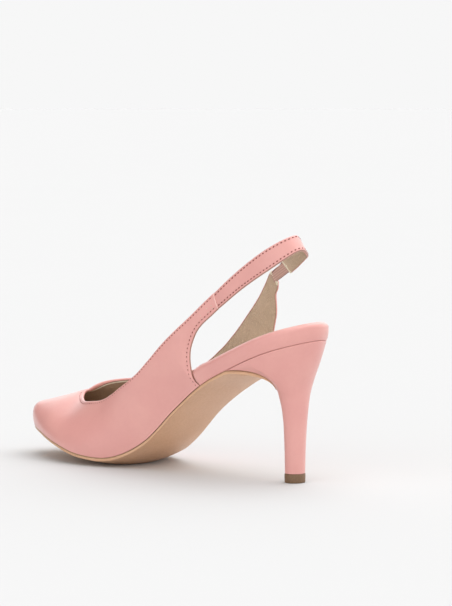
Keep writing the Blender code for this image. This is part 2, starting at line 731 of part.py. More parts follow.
def main():
    for old in list(bpy.data.objects):
        bpy.data.objects.remove(old, do_unlink=True)
    pink = material("pink_leather", (0.73, 0.36, 0.32), 0.38)
    tan = material("tan_sole_leather", (0.55, 0.33, 0.20), 0.45)
    brown = material("brown_top_piece", (0.19, 0.10, 0.05), 0.55)
    ribbed = material("pink_elastic", (0.45, 0.26, 0.21), 0.80)
    board = material("covered_insole", (0.73, 0.36, 0.32), 0.40)
    lacquer = material("pink_heel_cover", (0.73, 0.36, 0.32), 0.34)
    pieces = [make_upper(pink), make_sling(pink), make_elastic(ribbed), make_insole(board),
              make_outsole(tan), make_heel(lacquer), make_top_piece(brown)]
    stand = bpy.data.objects.new("stand", None)
    stand.location = (-STEM_CENTRE, 0.0, 0.0)
    bpy.context.scene.collection.objects.link(stand)
    for piece in pieces:
        piece.parent = stand


main()
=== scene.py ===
"""Looks of a slingback pump with a pointed toe and a slender heel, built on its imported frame."""
import math

import bpy
import numpy as np
from mathutils import Matrix, Vector


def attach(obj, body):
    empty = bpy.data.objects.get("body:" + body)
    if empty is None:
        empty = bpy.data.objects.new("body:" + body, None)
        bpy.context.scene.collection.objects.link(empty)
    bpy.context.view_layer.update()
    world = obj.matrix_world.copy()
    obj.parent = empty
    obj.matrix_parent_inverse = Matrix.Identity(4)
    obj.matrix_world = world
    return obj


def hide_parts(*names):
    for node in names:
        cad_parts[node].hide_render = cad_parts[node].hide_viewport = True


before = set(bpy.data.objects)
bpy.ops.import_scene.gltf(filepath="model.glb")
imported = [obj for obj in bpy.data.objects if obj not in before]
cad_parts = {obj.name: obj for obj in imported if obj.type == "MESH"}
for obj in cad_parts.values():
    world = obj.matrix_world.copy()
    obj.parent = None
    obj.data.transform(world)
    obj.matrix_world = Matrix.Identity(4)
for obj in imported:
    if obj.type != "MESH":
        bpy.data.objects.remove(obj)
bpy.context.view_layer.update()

MM = 0.001
OUTER, INNER = 1, -1

# Sizes of the frame, as its source has them
LENGTH = 232 * MM
BALL_WIDTH = 73 * MM
HEEL_RISE = 77 * MM
BALL_LIFT = 6.4 * MM
TOE_SPRING = 11.6 * MM
TOE_TURN = 1.0 * MM
QUARTER_HEIGHT = 60 * MM
SLING_HEIGHT = 60 * MM
WALL = 1.8 * MM
ELASTIC_THICK = 1.2 * MM
SOLE_EDGE = 2.0 * MM
SOLE_CROWN = 4.6 * MM
SOLE_INSET = 0.4 * MM
TONGUE_THICK = 2.0 * MM
SEAT_THICK = 10.8 * MM
INSOLE_THICK = 3.4 * MM
RAND_BULGE = 1.3 * MM
SEAT_DISH = 1.4 * MM
BREAST_AT = 48.4 * MM
STEM_TOP = 50 * MM
TOP_PIECE = 5.4 * MM
TIP_WIDTH = 12.2 * MM
STEM_CENTRE = 18.5 * MM
WING_SWEEP = 22 * MM
WAIST_SWEEP = 15 * MM
POLE_AT = 0.957
POLE_SOFT = 3 * MM
THROAT_AT = 0.860
FOOT_FLARE = math.radians(9)
TOE_FLARE = math.radians(6)
AROUND_MIN = 20 * MM
STEM_FRONT_POWER = 2.4
WING_ANGLE = math.radians(52)
ELASTIC_INSET = 0.12
OPEN_REACH = (0.35, 0.33)

# Sizes of the looks
FOLD = 0.8                   # leather turned over the rim before the lining starts, in mm
SLING_FOLD = 0.15
THROAT_FOLD = 1.2            # more leather turned over at the front of the throat, in mm
STITCH_PITCH = 2.45 * MM
TOPLINE_STITCH = 1.35 * MM   # stitch line below the topline of the quarters
THROAT_STITCH = 2.3 * MM
STRAP_STITCH = 1.5 * MM
REAR_STITCH = 2.1 * MM
VAMP_STITCH = 2.0            # stitch line behind the vamp's seam, in mm
END_CLEAR = 1.5 * MM         # no stitches nearer to a quarter's end
STRAP_CLEAR = 1.4 * MM       # nor to the sling's
VAMP_CLEAR = 2.5 * MM        # nor the vamp's seam to the topline
THROAT_CORNER = np.array([195.5, -11.0, 42.0]) * MM
THROAT_SHIFT = np.array([-0.4, 0.0, 1.7]) * MM
THROAT_REACH = 5.0 * MM      # how far the throat's corners are evened out
THROAT_SIDES = (0.66, 0.76)  # where the throat comes in, in shares of the length
TOE_SIDES = (0.62, 0.76, 0.875, 0.92)    # where the evening out of the toe comes in and goes
INNER_DIP = np.array([127.0, -28.4, 58.0]) * MM
TOE_REACH = 7 * MM           # how far the sides of the toe are evened out
SEAM_REACH = 4.5 * MM        # how far sling and quarter are evened out at their seam
SEAM_FOOT, SEAM_TOP = 0.37, (0.70, -0.35, 0.70)          # ends of the vamp's seam, in shares
SEAM_BOW = 2.5               # of the vamp's seam, in mm
GROOVE = 0.28 * MM           # between rand and heel
SEAT_RAISE = 1.7 * MM        # of the rand's front end
SOCK_THICK = 0.9 * MM
SOCK_LIFT = 0.35 * MM        # of the sock's face over the insole
SOLE_GAP = 0.12 * MM         # between feather line and sole
TONGUE_GAP = 0.15 * MM       # between breast and tongue
ELASTIC_RIB = 1.35           # pitch of the elastic's ribs, in mm
ELASTIC_PICK = 0.42          # and of its cross threads

# Rows and columns of the meshes
OPEN_RIBS, TAB_RIBS, CLOSED_RIBS = 96, 40, 44
REAR_ROWS = 14               # rows ahead of the tab that its rear stitches go on through
RIM_PADS = (0, 0.03 * MM, 0.12 * MM, 0.3 * MM, 0.6 * MM, 0.95 * MM, 1.7 * MM, 2.8 * MM)
JOIN_MARKS = ((9, 18), (12, 22), (16, 18))               # rows of the light stitches, and last columns
RINGS_OVER = 20
SOLE_ACROSS = 26
BREAST_ACROSS = 30
DENSE_ROWS = ((0.238, 0.262, 13), (0.292, 0.342, 26))    # where the quarters end above the sole
SAME_POINT = 1e-3 * MM       # points nearer than this are one
FAR = 60.0                   # a distance in mm at which a seam or edge no longer shows


def smooth(xs, ys, where):
    """A cubic curve through the rows of a table, with one tangent at each row."""
    xs, ys = np.asarray(xs, float), np.asarray(ys, float)
    step = np.diff(xs)
    slope = np.diff(ys) / step
    tangent = np.empty_like(ys)
    tangent[0], tangent[-1] = slope[0], slope[-1]
    tangent[1:-1] = (slope[:-1] * step[1:] + slope[1:] * step[:-1]) / (step[1:] + step[:-1])
    where = np.clip(where, xs[0], xs[-1])
    i = np.clip(np.searchsorted(xs, where, side="right") - 1, 0, len(step) - 1)
    t = (where - xs[i]) / step[i]
    start = ys[i] * (1 + 2 * t) + tangent[i] * step[i] * t
    end = ys[i + 1] * (3 - 2 * t) - tangent[i + 1] * step[i] * (1 - t)
    return start * (1 - t) ** 2 + end * t ** 2


class Table:
    """Rows of shares with named columns, the first of which is read along."""

    def __init__(self, columns, rows):
        values = np.array(rows, float).T
        self.columns = dict(zip(columns, values))
        self.key = values[0]

    def read(self, column, where):
        return smooth(self.key, self.columns[column], where)

    def point(self, end, where, side):
        """The point that the three columns of an end give on a side of the shoe."""
        along, across, up = (self.read(end + share, where) for share in ("_along", "_across", "_up"))
        return placed(along, side * across, up)


def turn_of(along):
    return math.acos(1 - 2 * min(max(along, 0.0), 1.0))


def along_of(turn):
    return (1 - math.cos(turn)) / 2


OUTLINE = Table(("turn", "outer", "inner"), [(turn_of(along), outer, inner) for along, outer, inner in (
    (0.00, 0.000, 0.000), (0.02, 0.160, 0.156), (0.06, 0.268, 0.264), (0.12, 0.332, 0.332),
    (0.20, 0.353, 0.349), (0.30, 0.340, 0.321), (0.40, 0.321, 0.272), (0.50, 0.348, 0.290),
    (0.60, 0.416, 0.404), (0.68, 0.468, 0.495), (0.76, 0.468, 0.522), (0.84, 0.403, 0.466),
    (0.91, 0.295, 0.359), (0.96, 0.186, 0.238), (0.99, 0.088, 0.118), (1.00, 0.000, 0.000))])

PROFILE = Table(("along", "rise", "spring"), (
    (0.0, 1.000, 0.0), (0.1, 0.900, 0.0), (0.2, 0.773, 0.0), (0.3, 0.631, 0.0),
    (0.4, 0.417, 0.0), (0.5, 0.148, 0.0), (0.6, 0.004, 0.0), (0.7, 0.000, 0.02),
    (0.8, 0.000, 0.45), (0.9, 0.000, 0.86), (1.0, 0.000, 1.00)))

RIDGE = Table(("along", "across", "up", "foot_reach", "top_reach"), (
    (0.849, -0.088, 0.426, 0.34, 0.24),
    (0.875, -0.079, 0.387, 0.36, 0.26),
    (0.895, -0.063, 0.351, 0.38, 0.28),
    (0.912, -0.049, 0.324, 0.42, 0.32),
    (0.929, -0.036, 0.299, 0.46, 0.36),
    (0.957, -0.016, 0.263, 0.58, 0.48),
    (1.000, 0.000, 0.240, 0.70, 0.60)))

RIB_COLUMNS = ("foot", "fan", "top_along", "top_across", "top_up", "lean")
OUTER_RIBS = Table(RIB_COLUMNS, (
    (0.306, 72, 0.435, 0.397, 0.726, 8),
    (0.335, 55, 0.457, 0.401, 0.725, 8),
    (0.370, 38, 0.481, 0.401, 0.725, 8),
    (0.420, 25, 0.511, 0.400, 0.709, 10),
    (0.470, 15, 0.543, 0.396, 0.695, 12),
    (0.520, 8, 0.578, 0.385, 0.677, 16),
    (0.570, 4, 0.612, 0.369, 0.636, 20),
    (0.620, 2, 0.644, 0.348, 0.588, 25),
    (0.665, 1, 0.677, 0.323, 0.547, 31),
    (0.710, 0, 0.716, 0.290, 0.510, 38),
    (0.750, 0, 0.751, 0.243, 0.466, 45),
    (0.780, 0, 0.784, 0.160, 0.428, 50),
    (0.800, 0, 0.802, 0.110, 0.421, 54),
    (0.818, 0, 0.819, 0.060, 0.412, 59),
    (0.832, 0, 0.834, 0.014, 0.405, 65),
    (0.845, 0, 0.845, -0.030, 0.406, 72),
    (0.853, 0, 0.848, -0.060, 0.414, 77),
    (0.860, 0, 0.849, -0.088, 0.426, 82)))
INNER_RIBS = Table(RIB_COLUMNS, (
    (0.262, 32, 0.336, 0.350, 0.723, 7),
    (0.290, 25, 0.362, 0.355, 0.685, 7),
    (0.330, 19, 0.390, 0.360, 0.657, 6),
    (0.370, 14, 0.420, 0.367, 0.650, 5),
    (0.420, 10, 0.457, 0.377, 0.684, 5),
    (0.470, 7, 0.500, 0.385, 0.732, 5),
    (0.520, 4, 0.543, 0.389, 0.770, 8),
    (0.570, 3, 0.586, 0.390, 0.790, 12),
    (0.620, 2, 0.631, 0.382, 0.757, 17),
    (0.665, 1, 0.672, 0.367, 0.726, 22),
    (0.710, 0, 0.713, 0.347, 0.695, 27),
    (0.750, 0, 0.750, 0.318, 0.657, 32),
    (0.785, 0, 0.784, 0.282, 0.609, 38),
    (0.808, 0, 0.808, 0.249, 0.575, 45),
    (0.827, 0, 0.827, 0.212, 0.530, 54),
    (0.841, 0, 0.838, 0.175, 0.492, 62),
    (0.850, 0, 0.846, 0.137, 0.459, 70),
    (0.856, 0, 0.849, 0.110, 0.439, 76),
    (0.860, 0, 0.849, 0.088, 0.426, 82)))
RIBS = {OUTER: OUTER_RIBS, INNER: INNER_RIBS}

TAB_COLUMNS = ("step", "foot_along", "foot_across", "foot_up", "fan",
               "top_along", "top_across", "top_up")
OUTER_TAB = Table(TAB_COLUMNS, (
    (1, 0.316, 0.342, 0.053, 62, 0.416, 0.392, 0.724),
    (2, 0.328, 0.345, 0.147, 52, 0.397, 0.388, 0.724),
    (3, 0.335, 0.347, 0.274, 40, 0.379, 0.383, 0.726),
    (4, 0.336, 0.345, 0.393, 30, 0.364, 0.377, 0.729),
    (5, 0.330, 0.342, 0.486, 24, 0.351, 0.369, 0.733),
    (6, 0.320, 0.338, 0.546, 26, 0.338, 0.362, 0.739),
    (7, 0.305, 0.332, 0.585, 25, 0.321, 0.349, 0.757),
    (8, 0.284, 0.319, 0.599, 25, 0.302, 0.331, 0.784),
    (9, 0.267, 0.305, 0.621, 26, 0.284, 0.313, 0.810),
    (10, 0.251, 0.292, 0.659, 25, 0.268, 0.296, 0.836)))
INNER_TAB = Table(TAB_COLUMNS, (
    (1, 0.253, 0.347, 0.109, 30, 0.319, 0.346, 0.750),
    (2, 0.250, 0.351, 0.235, 30, 0.304, 0.342, 0.781),
    (3, 0.247, 0.351, 0.373, 29, 0.291, 0.338, 0.813),
    (4, 0.235, 0.342, 0.527, 33, 0.276, 0.331, 0.863),
    (5, 0.233, 0.332, 0.640, 30, 0.265, 0.323, 0.899),
    (6, 0.231, 0.321, 0.717, 30, 0.256, 0.312, 0.924),
    (7, 0.222, 0.312, 0.754, 32, 0.246, 0.296, 0.949),
    (8, 0.213, 0.286, 0.810, 38, 0.236, 0.284, 0.963)))
TABS = {OUTER: OUTER_TAB, INNER: INNER_TAB}

SLING = Table(("step", "low_along", "low_across", "low_up", "top_along", "top_across", "top_up"), (
    (1, 0.218, 0.271, 0.380, 0.243, 0.277, 0.513),
    (2, 0.190, 0.258, 0.462, 0.216, 0.258, 0.603),
    (3, 0.162, 0.245, 0.533, 0.188, 0.238, 0.690),
    (4, 0.134, 0.232, 0.602, 0.162, 0.219, 0.765),
    (5, 0.108, 0.214, 0.663, 0.138, 0.200, 0.830),
    (6, 0.086, 0.186, 0.725, 0.116, 0.174, 0.885),
    (7, 0.069, 0.148, 0.777, 0.099, 0.140, 0.930),
    (8, 0.056, 0.099, 0.825, 0.086, 0.096, 0.965),
    (9, 0.049, 0.048, 0.850, 0.079, 0.048, 0.988),
    (10, 0.047, 0.000, 0.848, 0.077, 0.000, 0.997),
    (11, 0.051, -0.044, 0.820, 0.080, -0.038, 0.980),
    (12, 0.059, -0.089, 0.792, 0.087, -0.079, 0.953),
    (13, 0.072, -0.134, 0.775, 0.099, -0.121, 0.930),
    (14, 0.090, -0.175, 0.750, 0.115, -0.162, 0.902),
    (15, 0.110, -0.205, 0.710, 0.136, -0.195, 0.860),
    (16, 0.134, -0.233, 0.658, 0.162, -0.225, 0.802),
    (17, 0.161, -0.253, 0.598, 0.194, -0.252, 0.720)))

SOLE = Table(("along", "edge", "crown"), (
    (0.20, 1.00, 0.40), (0.40, 1.00, 0.45), (0.60, 1.00, 0.92), (0.75, 1.00, 1.00),
    (0.85, 0.85, 0.50), (0.93, 0.72, 0.15), (1.00, 0.65, 0.00)))

STEM = Table(("up", "centre", "half_width", "back", "front"), (
    (0.00, 0.000, 0.500, 0.467, 0.395),
    (0.24, -0.008, 0.510, 0.480, 0.410),
    (0.48, -0.016, 0.545, 0.500, 0.435),
    (0.72, -0.024, 0.610, 0.540, 0.480),
    (0.86, -0.024, 0.668, 0.590, 0.560),
    (1.00, -0.008, 0.754, 0.664, 0.700)))

RAND_SIDE = Table(("up", "out"), (
    (0.00, 0.00), (0.25, 0.75), (0.55, 1.00), (0.85, 0.62), (1.00, -0.90)))


# Lines and steps

def unit(vector):
    return vector / np.linalg.norm(vector)


def soft_step(value, start, end):
    t = np.clip((value - start) / (end - start), 0.0, 1.0)
    return t * t * (3 - 2 * t)


def between(first, second, share):
    return first * (1 - share) + second * share


def straight(start, end, low=0.0, high=1.0, count=61):
    return start + (end - start) * np.linspace(low, high, count)[:, None]


def arch(start, first, second, end, t):
    """A cubic curve from start to end, drawn towards two points."""
    return (start * (1 - t) ** 3 + first * 3 * t * (1 - t) ** 2
            + second * 3 * t ** 2 * (1 - t) + end * t ** 3)


def lengths_of(points):
    return np.concatenate([[0], np.cumsum(np.linalg.norm(np.diff(points, axis=0), axis=1))])


def spread(points, pads, middle):
    """Points of a dense line, a few at set lengths from both ends and the rest between them."""
    lengths = lengths_of(points)
    whole = lengths[-1]
    pads = np.array(pads) * min(1.0, whole / (2.6 * pads[-1]))
    evenly = np.linspace(pads[-1], whole - pads[-1], middle + 2)[1:-1]
    where = np.concatenate([pads, evenly, whole - pads[::-1]])
    return np.stack([np.interp(where, lengths, points[:, k]) for k in range(3)], axis=1)


def softened(line, reach, where):
    """A line of points evened out over a reach, as far as the shares in where say."""
    lengths = lengths_of(line)
    span = np.gradient(lengths)
    weight = np.exp(-((lengths[:, None] - lengths[None]) / reach) ** 2 / 2) * span[None]
    even = weight @ line / weight.sum(1, keepdims=True)
    return line + (even - line) * np.asarray(where)[:, None]


# Shapes of the frame

def line_height(along):
    """Height of the feather line, where upper and sole meet."""
    rise = HEEL_RISE * PROFILE.read("rise", along)
    return BALL_LIFT + rise + TOE_SPRING * PROFILE.read("spring", along)


def outline_point(turn, side):
    along = along_of(turn)
    bend = (along - PROFILE.key[6]) / (1 - PROFILE.key[6])
    width = OUTLINE.read("outer" if side > 0 else "inner", turn) * BALL_WIDTH
    return np.array([along * LENGTH, side * width + TOE_TURN * max(bend, 0.0) ** 2])


def outline_normal(turn, side):
    step = 0.01
    if turn <= step or turn >= math.pi - step:
        return np.array([-1.0 if turn <= step else 1.0, 0.0])
    run = unit(outline_point(turn + step, side) - outline_point(turn - step, side))
    return side * np.array([-run[1], run[0]])


def feather(along, side):
    flat = outline_point(turn_of(along), side)
    return np.array([flat[0], flat[1], line_height(along)])


def placed(along, across, up):
    return np.array([along * LENGTH, across * BALL_WIDTH, line_height(along) + up * QUARTER_HEIGHT])


def ridge_point(along):
    return placed(along, RIDGE.read("across", along), RIDGE.read("up", along))


def rib(foot, top, leave, arrive, foot_reach, top_reach):
    """A cubic arch from foot to top, leaving and arriving along the two runs."""
    chord = np.linalg.norm(top - foot)
    t = np.linspace(0, 1, 161)[:, None]
    line = arch(foot, foot + leave * foot_reach * chord, top - arrive * top_reach * chord, top, t)
    return spread(line, RIM_PADS, 22)


def foot_run(along, side, fan=0.0):
    out = outline_normal(turn_of(along), side)
    ahead = np.array([abs(out[1]), -math.copysign(out[0], out[0] * out[1]), 0.0])
    flare = FOOT_FLARE + TOE_FLARE * soft_step(along, THROAT_AT, 1.0)
    upright = np.array([*(out * math.sin(flare)), math.cos(flare)])
    return unit(upright * math.cos(fan) + ahead * math.sin(fan))


def closed_rib(along, side):
    """A rib of the closed toe, which ends on the ridge."""
    foot = feather(along, side)
    reach = POLE_AT * LENGTH - foot[0]
    meet = (POLE_AT * LENGTH - POLE_SOFT * math.log1p(math.exp(reach / POLE_SOFT))) / LENGTH
    top = ridge_point(meet)
    step = 0.004
    slope = (ridge_point(meet + step)[2] - ridge_point(meet - step)[2]) / (2 * step * LENGTH)
    flat = unit((top - foot)[:2])
    run = unit(np.array([flat[0], flat[1], slope * flat[0]]))
    reaches = RIDGE.read("foot_reach", along), RIDGE.read("top_reach", along)
    return rib(foot, top, foot_run(along, side), run, *reaches)


def open_rib(along, side):
    """A rib that ends at the topline."""
    table = RIBS[side]
    foot = feather(along, side)
    top = table.point("top", along, side)
    lean, fan = math.radians(table.read("lean", along)), math.radians(table.read("fan", along))
    inward = side * (foot[1] - top[1])
    flat = unit(np.array([top[0] - foot[0], -side * max(inward, AROUND_MIN)]))
    arrive = np.array([flat[0] * math.sin(lean), flat[1] * math.sin(lean), math.cos(lean)])
    return rib(foot, top, foot_run(along, side, fan), arrive, *OPEN_REACH)


def sling_edges(step):
    seat = line_height(0.0)
    return [np.array([SLING.read(edge + "_along", step) * LENGTH,
                      SLING.read(edge + "_across", step) * BALL_WIDTH,
                      seat + SLING.read(edge + "_up", step) * SLING_HEIGHT])
            for edge in ("low", "top")]


def flowing_edges():
    """Both edges of the sling and of the outer tab, evened out where they meet at the seam."""
    strap = [sling_edges(step) for step in np.linspace(SLING.key[-1], SLING.key[0], 150)]
    steps = np.linspace(OUTER_TAB.key[-1], OUTER_TAB.key[0], 60)
    tab = [[OUTER_TAB.point(end, step, OUTER) for end in ("foot", "top")] for step in steps]
    edges = np.array(strap + tab)
    for k in (0, 1):
        run = lengths_of(edges[:, k])
        past = run - run[len(strap)]
        near = soft_step(past, -60 * MM, -40 * MM) * (1 - soft_step(past, 26 * MM, 34 * MM))
        edges[:, k] = softened(edges[:, k], SEAM_REACH, near)
    rows = np.column_stack([steps[::-1], edges[:len(strap) - 1:-1].reshape(len(steps), -1)])
    columns = ("step", "foot_x", "foot_y", "foot_z", "top_x", "top_y", "top_z")
    return edges[:len(strap)], Table(columns, rows)


SLING_EDGES, OUTER_EDGES = flowing_edges()


def tab_rib(step, side):
    """A rib of a tab, whose foot lies on the tab's own rear edge."""
    if side > 0:
        foot, top = (np.array([OUTER_EDGES.read(end + axis, step) for axis in "xyz"])
                     for end in ("foot_", "top_"))
    else:
        foot, top = (INNER_TAB.point(end, step, side) for end in ("foot", "top"))
    run = unit(top - foot)
    ahead = unit(np.array([run[0], run[1], 0.0]))
    fan = math.radians(TABS[side].read("fan", step))
    bow = np.array([0.0, side * math.sin(FOOT_FLARE) / 2, 0.0])
    start = np.array([0.0, 0.0, math.cos(fan)]) + ahead * math.sin(fan) + bow
    return rib(foot, top, unit(start), unit(run - bow), *OPEN_REACH)


def end_rows(rows):
    """Closely spaced rows added behind the first row, so that its rim can be rounded."""
    first, second = rows[0], rows[1]
    gap = np.linalg.norm(second - first, axis=1).mean()
    close = [first + (second - first) * min(pad / gap, 0.9) for pad in RIM_PADS[:6]]
    return close + list(rows[1:])


def upper_rows(side):
    """Ribs of one side from the end of its tab forward, and how many are open and in the tab."""
    tab = TABS[side]
    ribs = [tab_rib(step, side) for step in np.linspace(tab.key[-1], tab.key[0], TAB_RIBS)]
    ribs += [open_rib(along, side) for along in np.linspace(RIBS[side].key[0], THROAT_AT, OPEN_RIBS)]
    ribs = end_rows(ribs)
    opened = len(ribs)
    turns = np.linspace(turn_of(THROAT_AT), math.pi, CLOSED_RIBS + 2)[1:-1]
    ribs += [closed_rib(along_of(turn), side) for turn in turns]
    return ribs, opened, opened - OPEN_RIBS


def seat_thickness(along):
    """Seat board and insole, a little raised where the rand meets the quarters."""
    raised = SEAT_RAISE * soft_step(along, 0.26, 0.325) * (1 - soft_step(along, 0.345, 0.40))
    return SEAT_THICK + raised + (INSOLE_THICK - SEAT_THICK) * soft_step(along, 0.335, 0.46)


def seat_dish(outer, inner, shares):
    """How far the seat dips between its edges, less where it is narrow."""
    width = np.linalg.norm(outer - inner) / BALL_WIDTH
    return SEAT_DISH * min(width / 0.5, 1.0) * 4 * shares * (1 - shares)


def insole_edge(turn, side, level):
    """A point of the insole's side, which sits inside the upper where that covers it."""
    along = along_of(turn)
    tab = TABS[side]
    edge_at = np.interp(level * SEAT_THICK / QUARTER_HEIGHT, [0.0, *tab.columns["foot_up"]],
                        [RIBS[side].key[0], *tab.columns["foot_along"]])
    inside = soft_step(along, edge_at - 0.003, edge_at + 0.004)
    free = RAND_BULGE * RAND_SIDE.read("out", level)
    out = free * (1 - inside) - (WALL + 0.3 * MM * level) * inside
    flat = outline_point(turn, side) + outline_normal(turn, side) * out
    return np.array([*flat, line_height(flat[0] / LENGTH) + seat_thickness(along) * level])


def stem_section(height, angles):
    """A level ring of the stem, round behind and squarer in front."""
    up = height / STEM_TOP
    centre = STEM_CENTRE + STEM.read("centre", up) * TIP_WIDTH
    half, back, front = (STEM.read(name, up) * TIP_WIDTH for name in ("half_width", "back", "front"))
    c, s = np.cos(angles), np.sin(angles)
    square = (abs(c) ** STEM_FRONT_POWER + abs(s) ** STEM_FRONT_POWER) ** (-1 / STEM_FRONT_POWER)
    size = np.where(c > 0, square, 1.0)
    return np.stack([centre + np.where(c > 0, front, back) * c * size, half * s * size,
                     np.full(len(c), height)], axis=1)


def flare_point(top, angle, t):
    """A point on the arch from the heel's top edge down to the top of the stem."""
    base = stem_section(STEM_TOP, [angle])[0]
    if abs(angle) <= WING_ANGLE:
        lip = np.array([-1.0, 0.0, -0.36]) * 0.58
        bias, other = 1 - abs(angle) / WING_ANGLE, lip * WING_SWEEP
    else:
        inward = unit(np.array([STEM_CENTRE, 0.0]) - top[:2])
        bias = 1 - math.exp(-((abs(angle) - WING_ANGLE) / 0.42) ** 2)
        other = np.array([inward[0] * 0.22, inward[1] * 0.30, -1.0]) * WAIST_SWEEP
    along_edge = np.array([-1.0, -0.15 * np.sign(angle), 0.10]) * WING_SWEEP
    rise = np.array([0.05 * math.cos(angle), 0.36 * math.sin(angle), 1.0]) * 10 * MM
    return arch(top, top + between(along_edge, other, bias), base + rise, base, t)


def breast_edge(shares, gap):
    """Points across the heel breast, a gap below the feather line, and their angles."""
    at = BREAST_AT / LENGTH
    outer, inner = (outline_point(turn_of(at), side) for side in (OUTER, INNER))
    points = [np.array([*between(outer, inner, share), line_height(at) - gap]) for share in shares]
    return points, [WING_ANGLE * (1 - 2 * share) for share in shares]


# Mesh making

def grid_faces(rows, columns, closed=False, start=0):
    last = columns if closed else columns - 1
    return [(start + r * columns + c, start + r * columns + (c + 1) % columns,
             start + (r + 1) * columns + (c + 1) % columns, start + (r + 1) * columns + c)
            for r in range(rows - 1) for c in range(last)]


def end_faces(rows, columns):
    return [tuple(range(columns))[::-1], tuple(range((rows - 1) * columns, rows * columns))]


def added(name, data):
    made = bpy.data.objects.new(name, data)
    bpy.context.scene.collection.objects.link(made)
    return made


def finished(piece, node=None):
    """The last calls on a piece: it rides on the shoe and stands for its CAD node."""
    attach(piece, "root")
    if node:
        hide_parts(node)


def welded(points):
    """Which point stands first in each place, and the place of each point."""
    keys = np.round(points / SAME_POINT).astype(np.int64)
    _, first, weld = np.unique(keys, axis=0, return_index=True, return_inverse=True)
    return first, weld.ravel()


def make_piece(name, node, points, faces, finishes, kinds=None, facts=None, sharp=None):
    """A piece from faces of points, with equal points welded, placed over the heel tip."""
    points = np.asarray(points, float).reshape(-1, 3)
    first, weld = welded(points)
    kept, kept_kinds = [], []
    for number, face in enumerate(faces):
        ring = list(dict.fromkeys(int(weld[corner]) for corner in face))
        if len(ring) > 2:
            kept.append(ring)
            kept_kinds.append(kinds[number] if kinds else 0)
    mesh = bpy.data.meshes.new(name)
    mesh.from_pydata((points[first] - np.array([STEM_CENTRE, 0, 0])).tolist(), [], kept)
    for finish in finishes:
        mesh.materials.append(finish)
    mesh.polygons.foreach_set("material_index", kept_kinds)
    for label, values in (facts or {}).items():
        layer = mesh.attributes.new(label, "FLOAT", "POINT")
        layer.data.foreach_set("value", np.asarray(values, float).ravel()[first].astype(np.float32))
    mesh.update()
    mesh.validate()
    mesh.shade_smooth()
    if sharp:
        mesh.set_sharp_from_angle(angle=math.radians(sharp))
    finished(added(name, mesh), node)


def grid_normals(grid):
    """Directions out of a grid's face, the same at points that are welded."""
    normal = np.cross(np.gradient(grid, axis=1), np.gradient(grid, axis=0)).reshape(-1, 3)
    _, weld = welded(grid.reshape(-1, 3))
    total = np.zeros((weld.max() + 1, 3))
    size = np.linalg.norm(normal, axis=1, keepdims=True)
    np.add.at(total, weld, normal / np.maximum(size, 1e-15))
    total /= np.maximum(np.linalg.norm(total, axis=1, keepdims=True), 1e-15)
    return total[weld].reshape(grid.shape)


def distance_to(line, points):
    """Distance of each point to a line of points."""
    flat = points.reshape(-1, 3)
    start, run = line[:-1], np.diff(line, axis=0)
    long = np.maximum((run ** 2).sum(1), 1e-18)
    best = np.full(len(flat), 1e9)
    at_once = 800
    for at in range(0, len(flat), at_once):
        block = flat[at:at + at_once, None, :] - start[None]
        t = np.clip((block * run[None]).sum(2) / long[None], 0, 1)
        gap = np.linalg.norm(block - t[..., None] * run[None], axis=2)
        best[at:at + at_once] = gap.min(1)
    return best.reshape(points.shape[:-1])


def rounded_sheet(name, node, grid, rims, wall, finishes, facts=None, foot=()):
    """A sheet whose grid is its outer face, with rounded rims and a second finish inside.

    Each rim is a line and how crisp its edge is. The attribute rim is the distance to
    the nearest rim in millimetres. The corners in foot are closed by a flat edge."""
    normal = grid_normals(grid)
    near = np.min([distance_to(line, grid) * crisp for line, crisp in rims], axis=0)
    half = wall / 2
    swell = half * np.sqrt(np.clip(1 - (1 - np.clip(near / half, 0, 1)) ** 2, 0, 1))[..., None]
    middle = grid - normal * half
    rows, columns = grid.shape[:2]
    count = rows * columns
    points = np.stack([middle + normal * swell, middle - normal * swell])
    faces = grid_faces(rows, columns)
    inside = [face[::-1] for face in grid_faces(rows, columns, start=count)]
    kinds = [0] * len(faces) + [1] * len(inside) + [0] * max(len(foot) - 1, 0)
    faces += inside + [(a, count + a, count + b, b) for a, b in zip(foot[:-1], foot[1:])]
    both = {label: np.concatenate([np.ravel(values)] * 2)
            for label, values in {"rim": near / MM, **(facts or {})}.items()}
    make_piece(name, node, points, faces, finishes, kinds, both)
    return normal


# Finishes

PINK = (0.735, 0.345, 0.312)
PINK_WARM = (0.765, 0.375, 0.335)
PINK_DEEP = (0.60, 0.245, 0.215)
# painted highlight along the quarter's rounded end where it meets the sling
JOIN_HIGHLIGHT_PINK = (0.93, 0.66, 0.60)
# painted shadow line along the step of the vamp's seam
VAMP_SEAM_SHADOW = (0.23, 0.08, 0.065)
# painted shade under the outer quarter's rear edge and the sling's lower edge
UNDER_EDGE_SHADE = (0.30, 0.175, 0.125)
LINING = (0.64, 0.487, 0.358)
LINING_LIGHT = (0.69, 0.530, 0.395)
# dark of the lining's fibres, and painted shade in its creases
LINING_DARK = (0.33, 0.225, 0.14)
# painted shade inside the throat
THROAT_SHADE = (0.22, 0.13, 0.08)
# raw edge of the turned leather with painted shadow beside it
TURNED_EDGE_AND_SHADOW = (0.16, 0.085, 0.055)
# cream of the cut ends, and the painted highlight on the lining's top edge at the throat
CREAM = (0.86, 0.78, 0.62)


def wire(tree, kind, inputs=None, **settings):
    """A node with its settings, whose inputs are values or the outputs of other nodes."""
    made = tree.nodes.new(kind)
    for key, value in settings.items():
        setattr(made, key, value)
    for key, value in (inputs or {}).items():
        if isinstance(value, bpy.types.NodeSocket):
            tree.links.new(value, made.inputs[key])
        else:
            made.inputs[key].default_value = value
    return made


def new_finish(name, colour, roughness, level, **sockets):
    made = bpy.data.materials.new(name)
    made.use_nodes = True
    shader = made.node_tree.nodes["Principled BSDF"]
    shader.inputs["Base Color"].default_value = (*colour, 1.0)
    shader.inputs["Roughness"].default_value = roughness
    for key, value in {"Specular_IOR_Level": level, **sockets}.items():
        shader.inputs[key.replace("_", " ")].default_value = value
    return made, made.node_tree


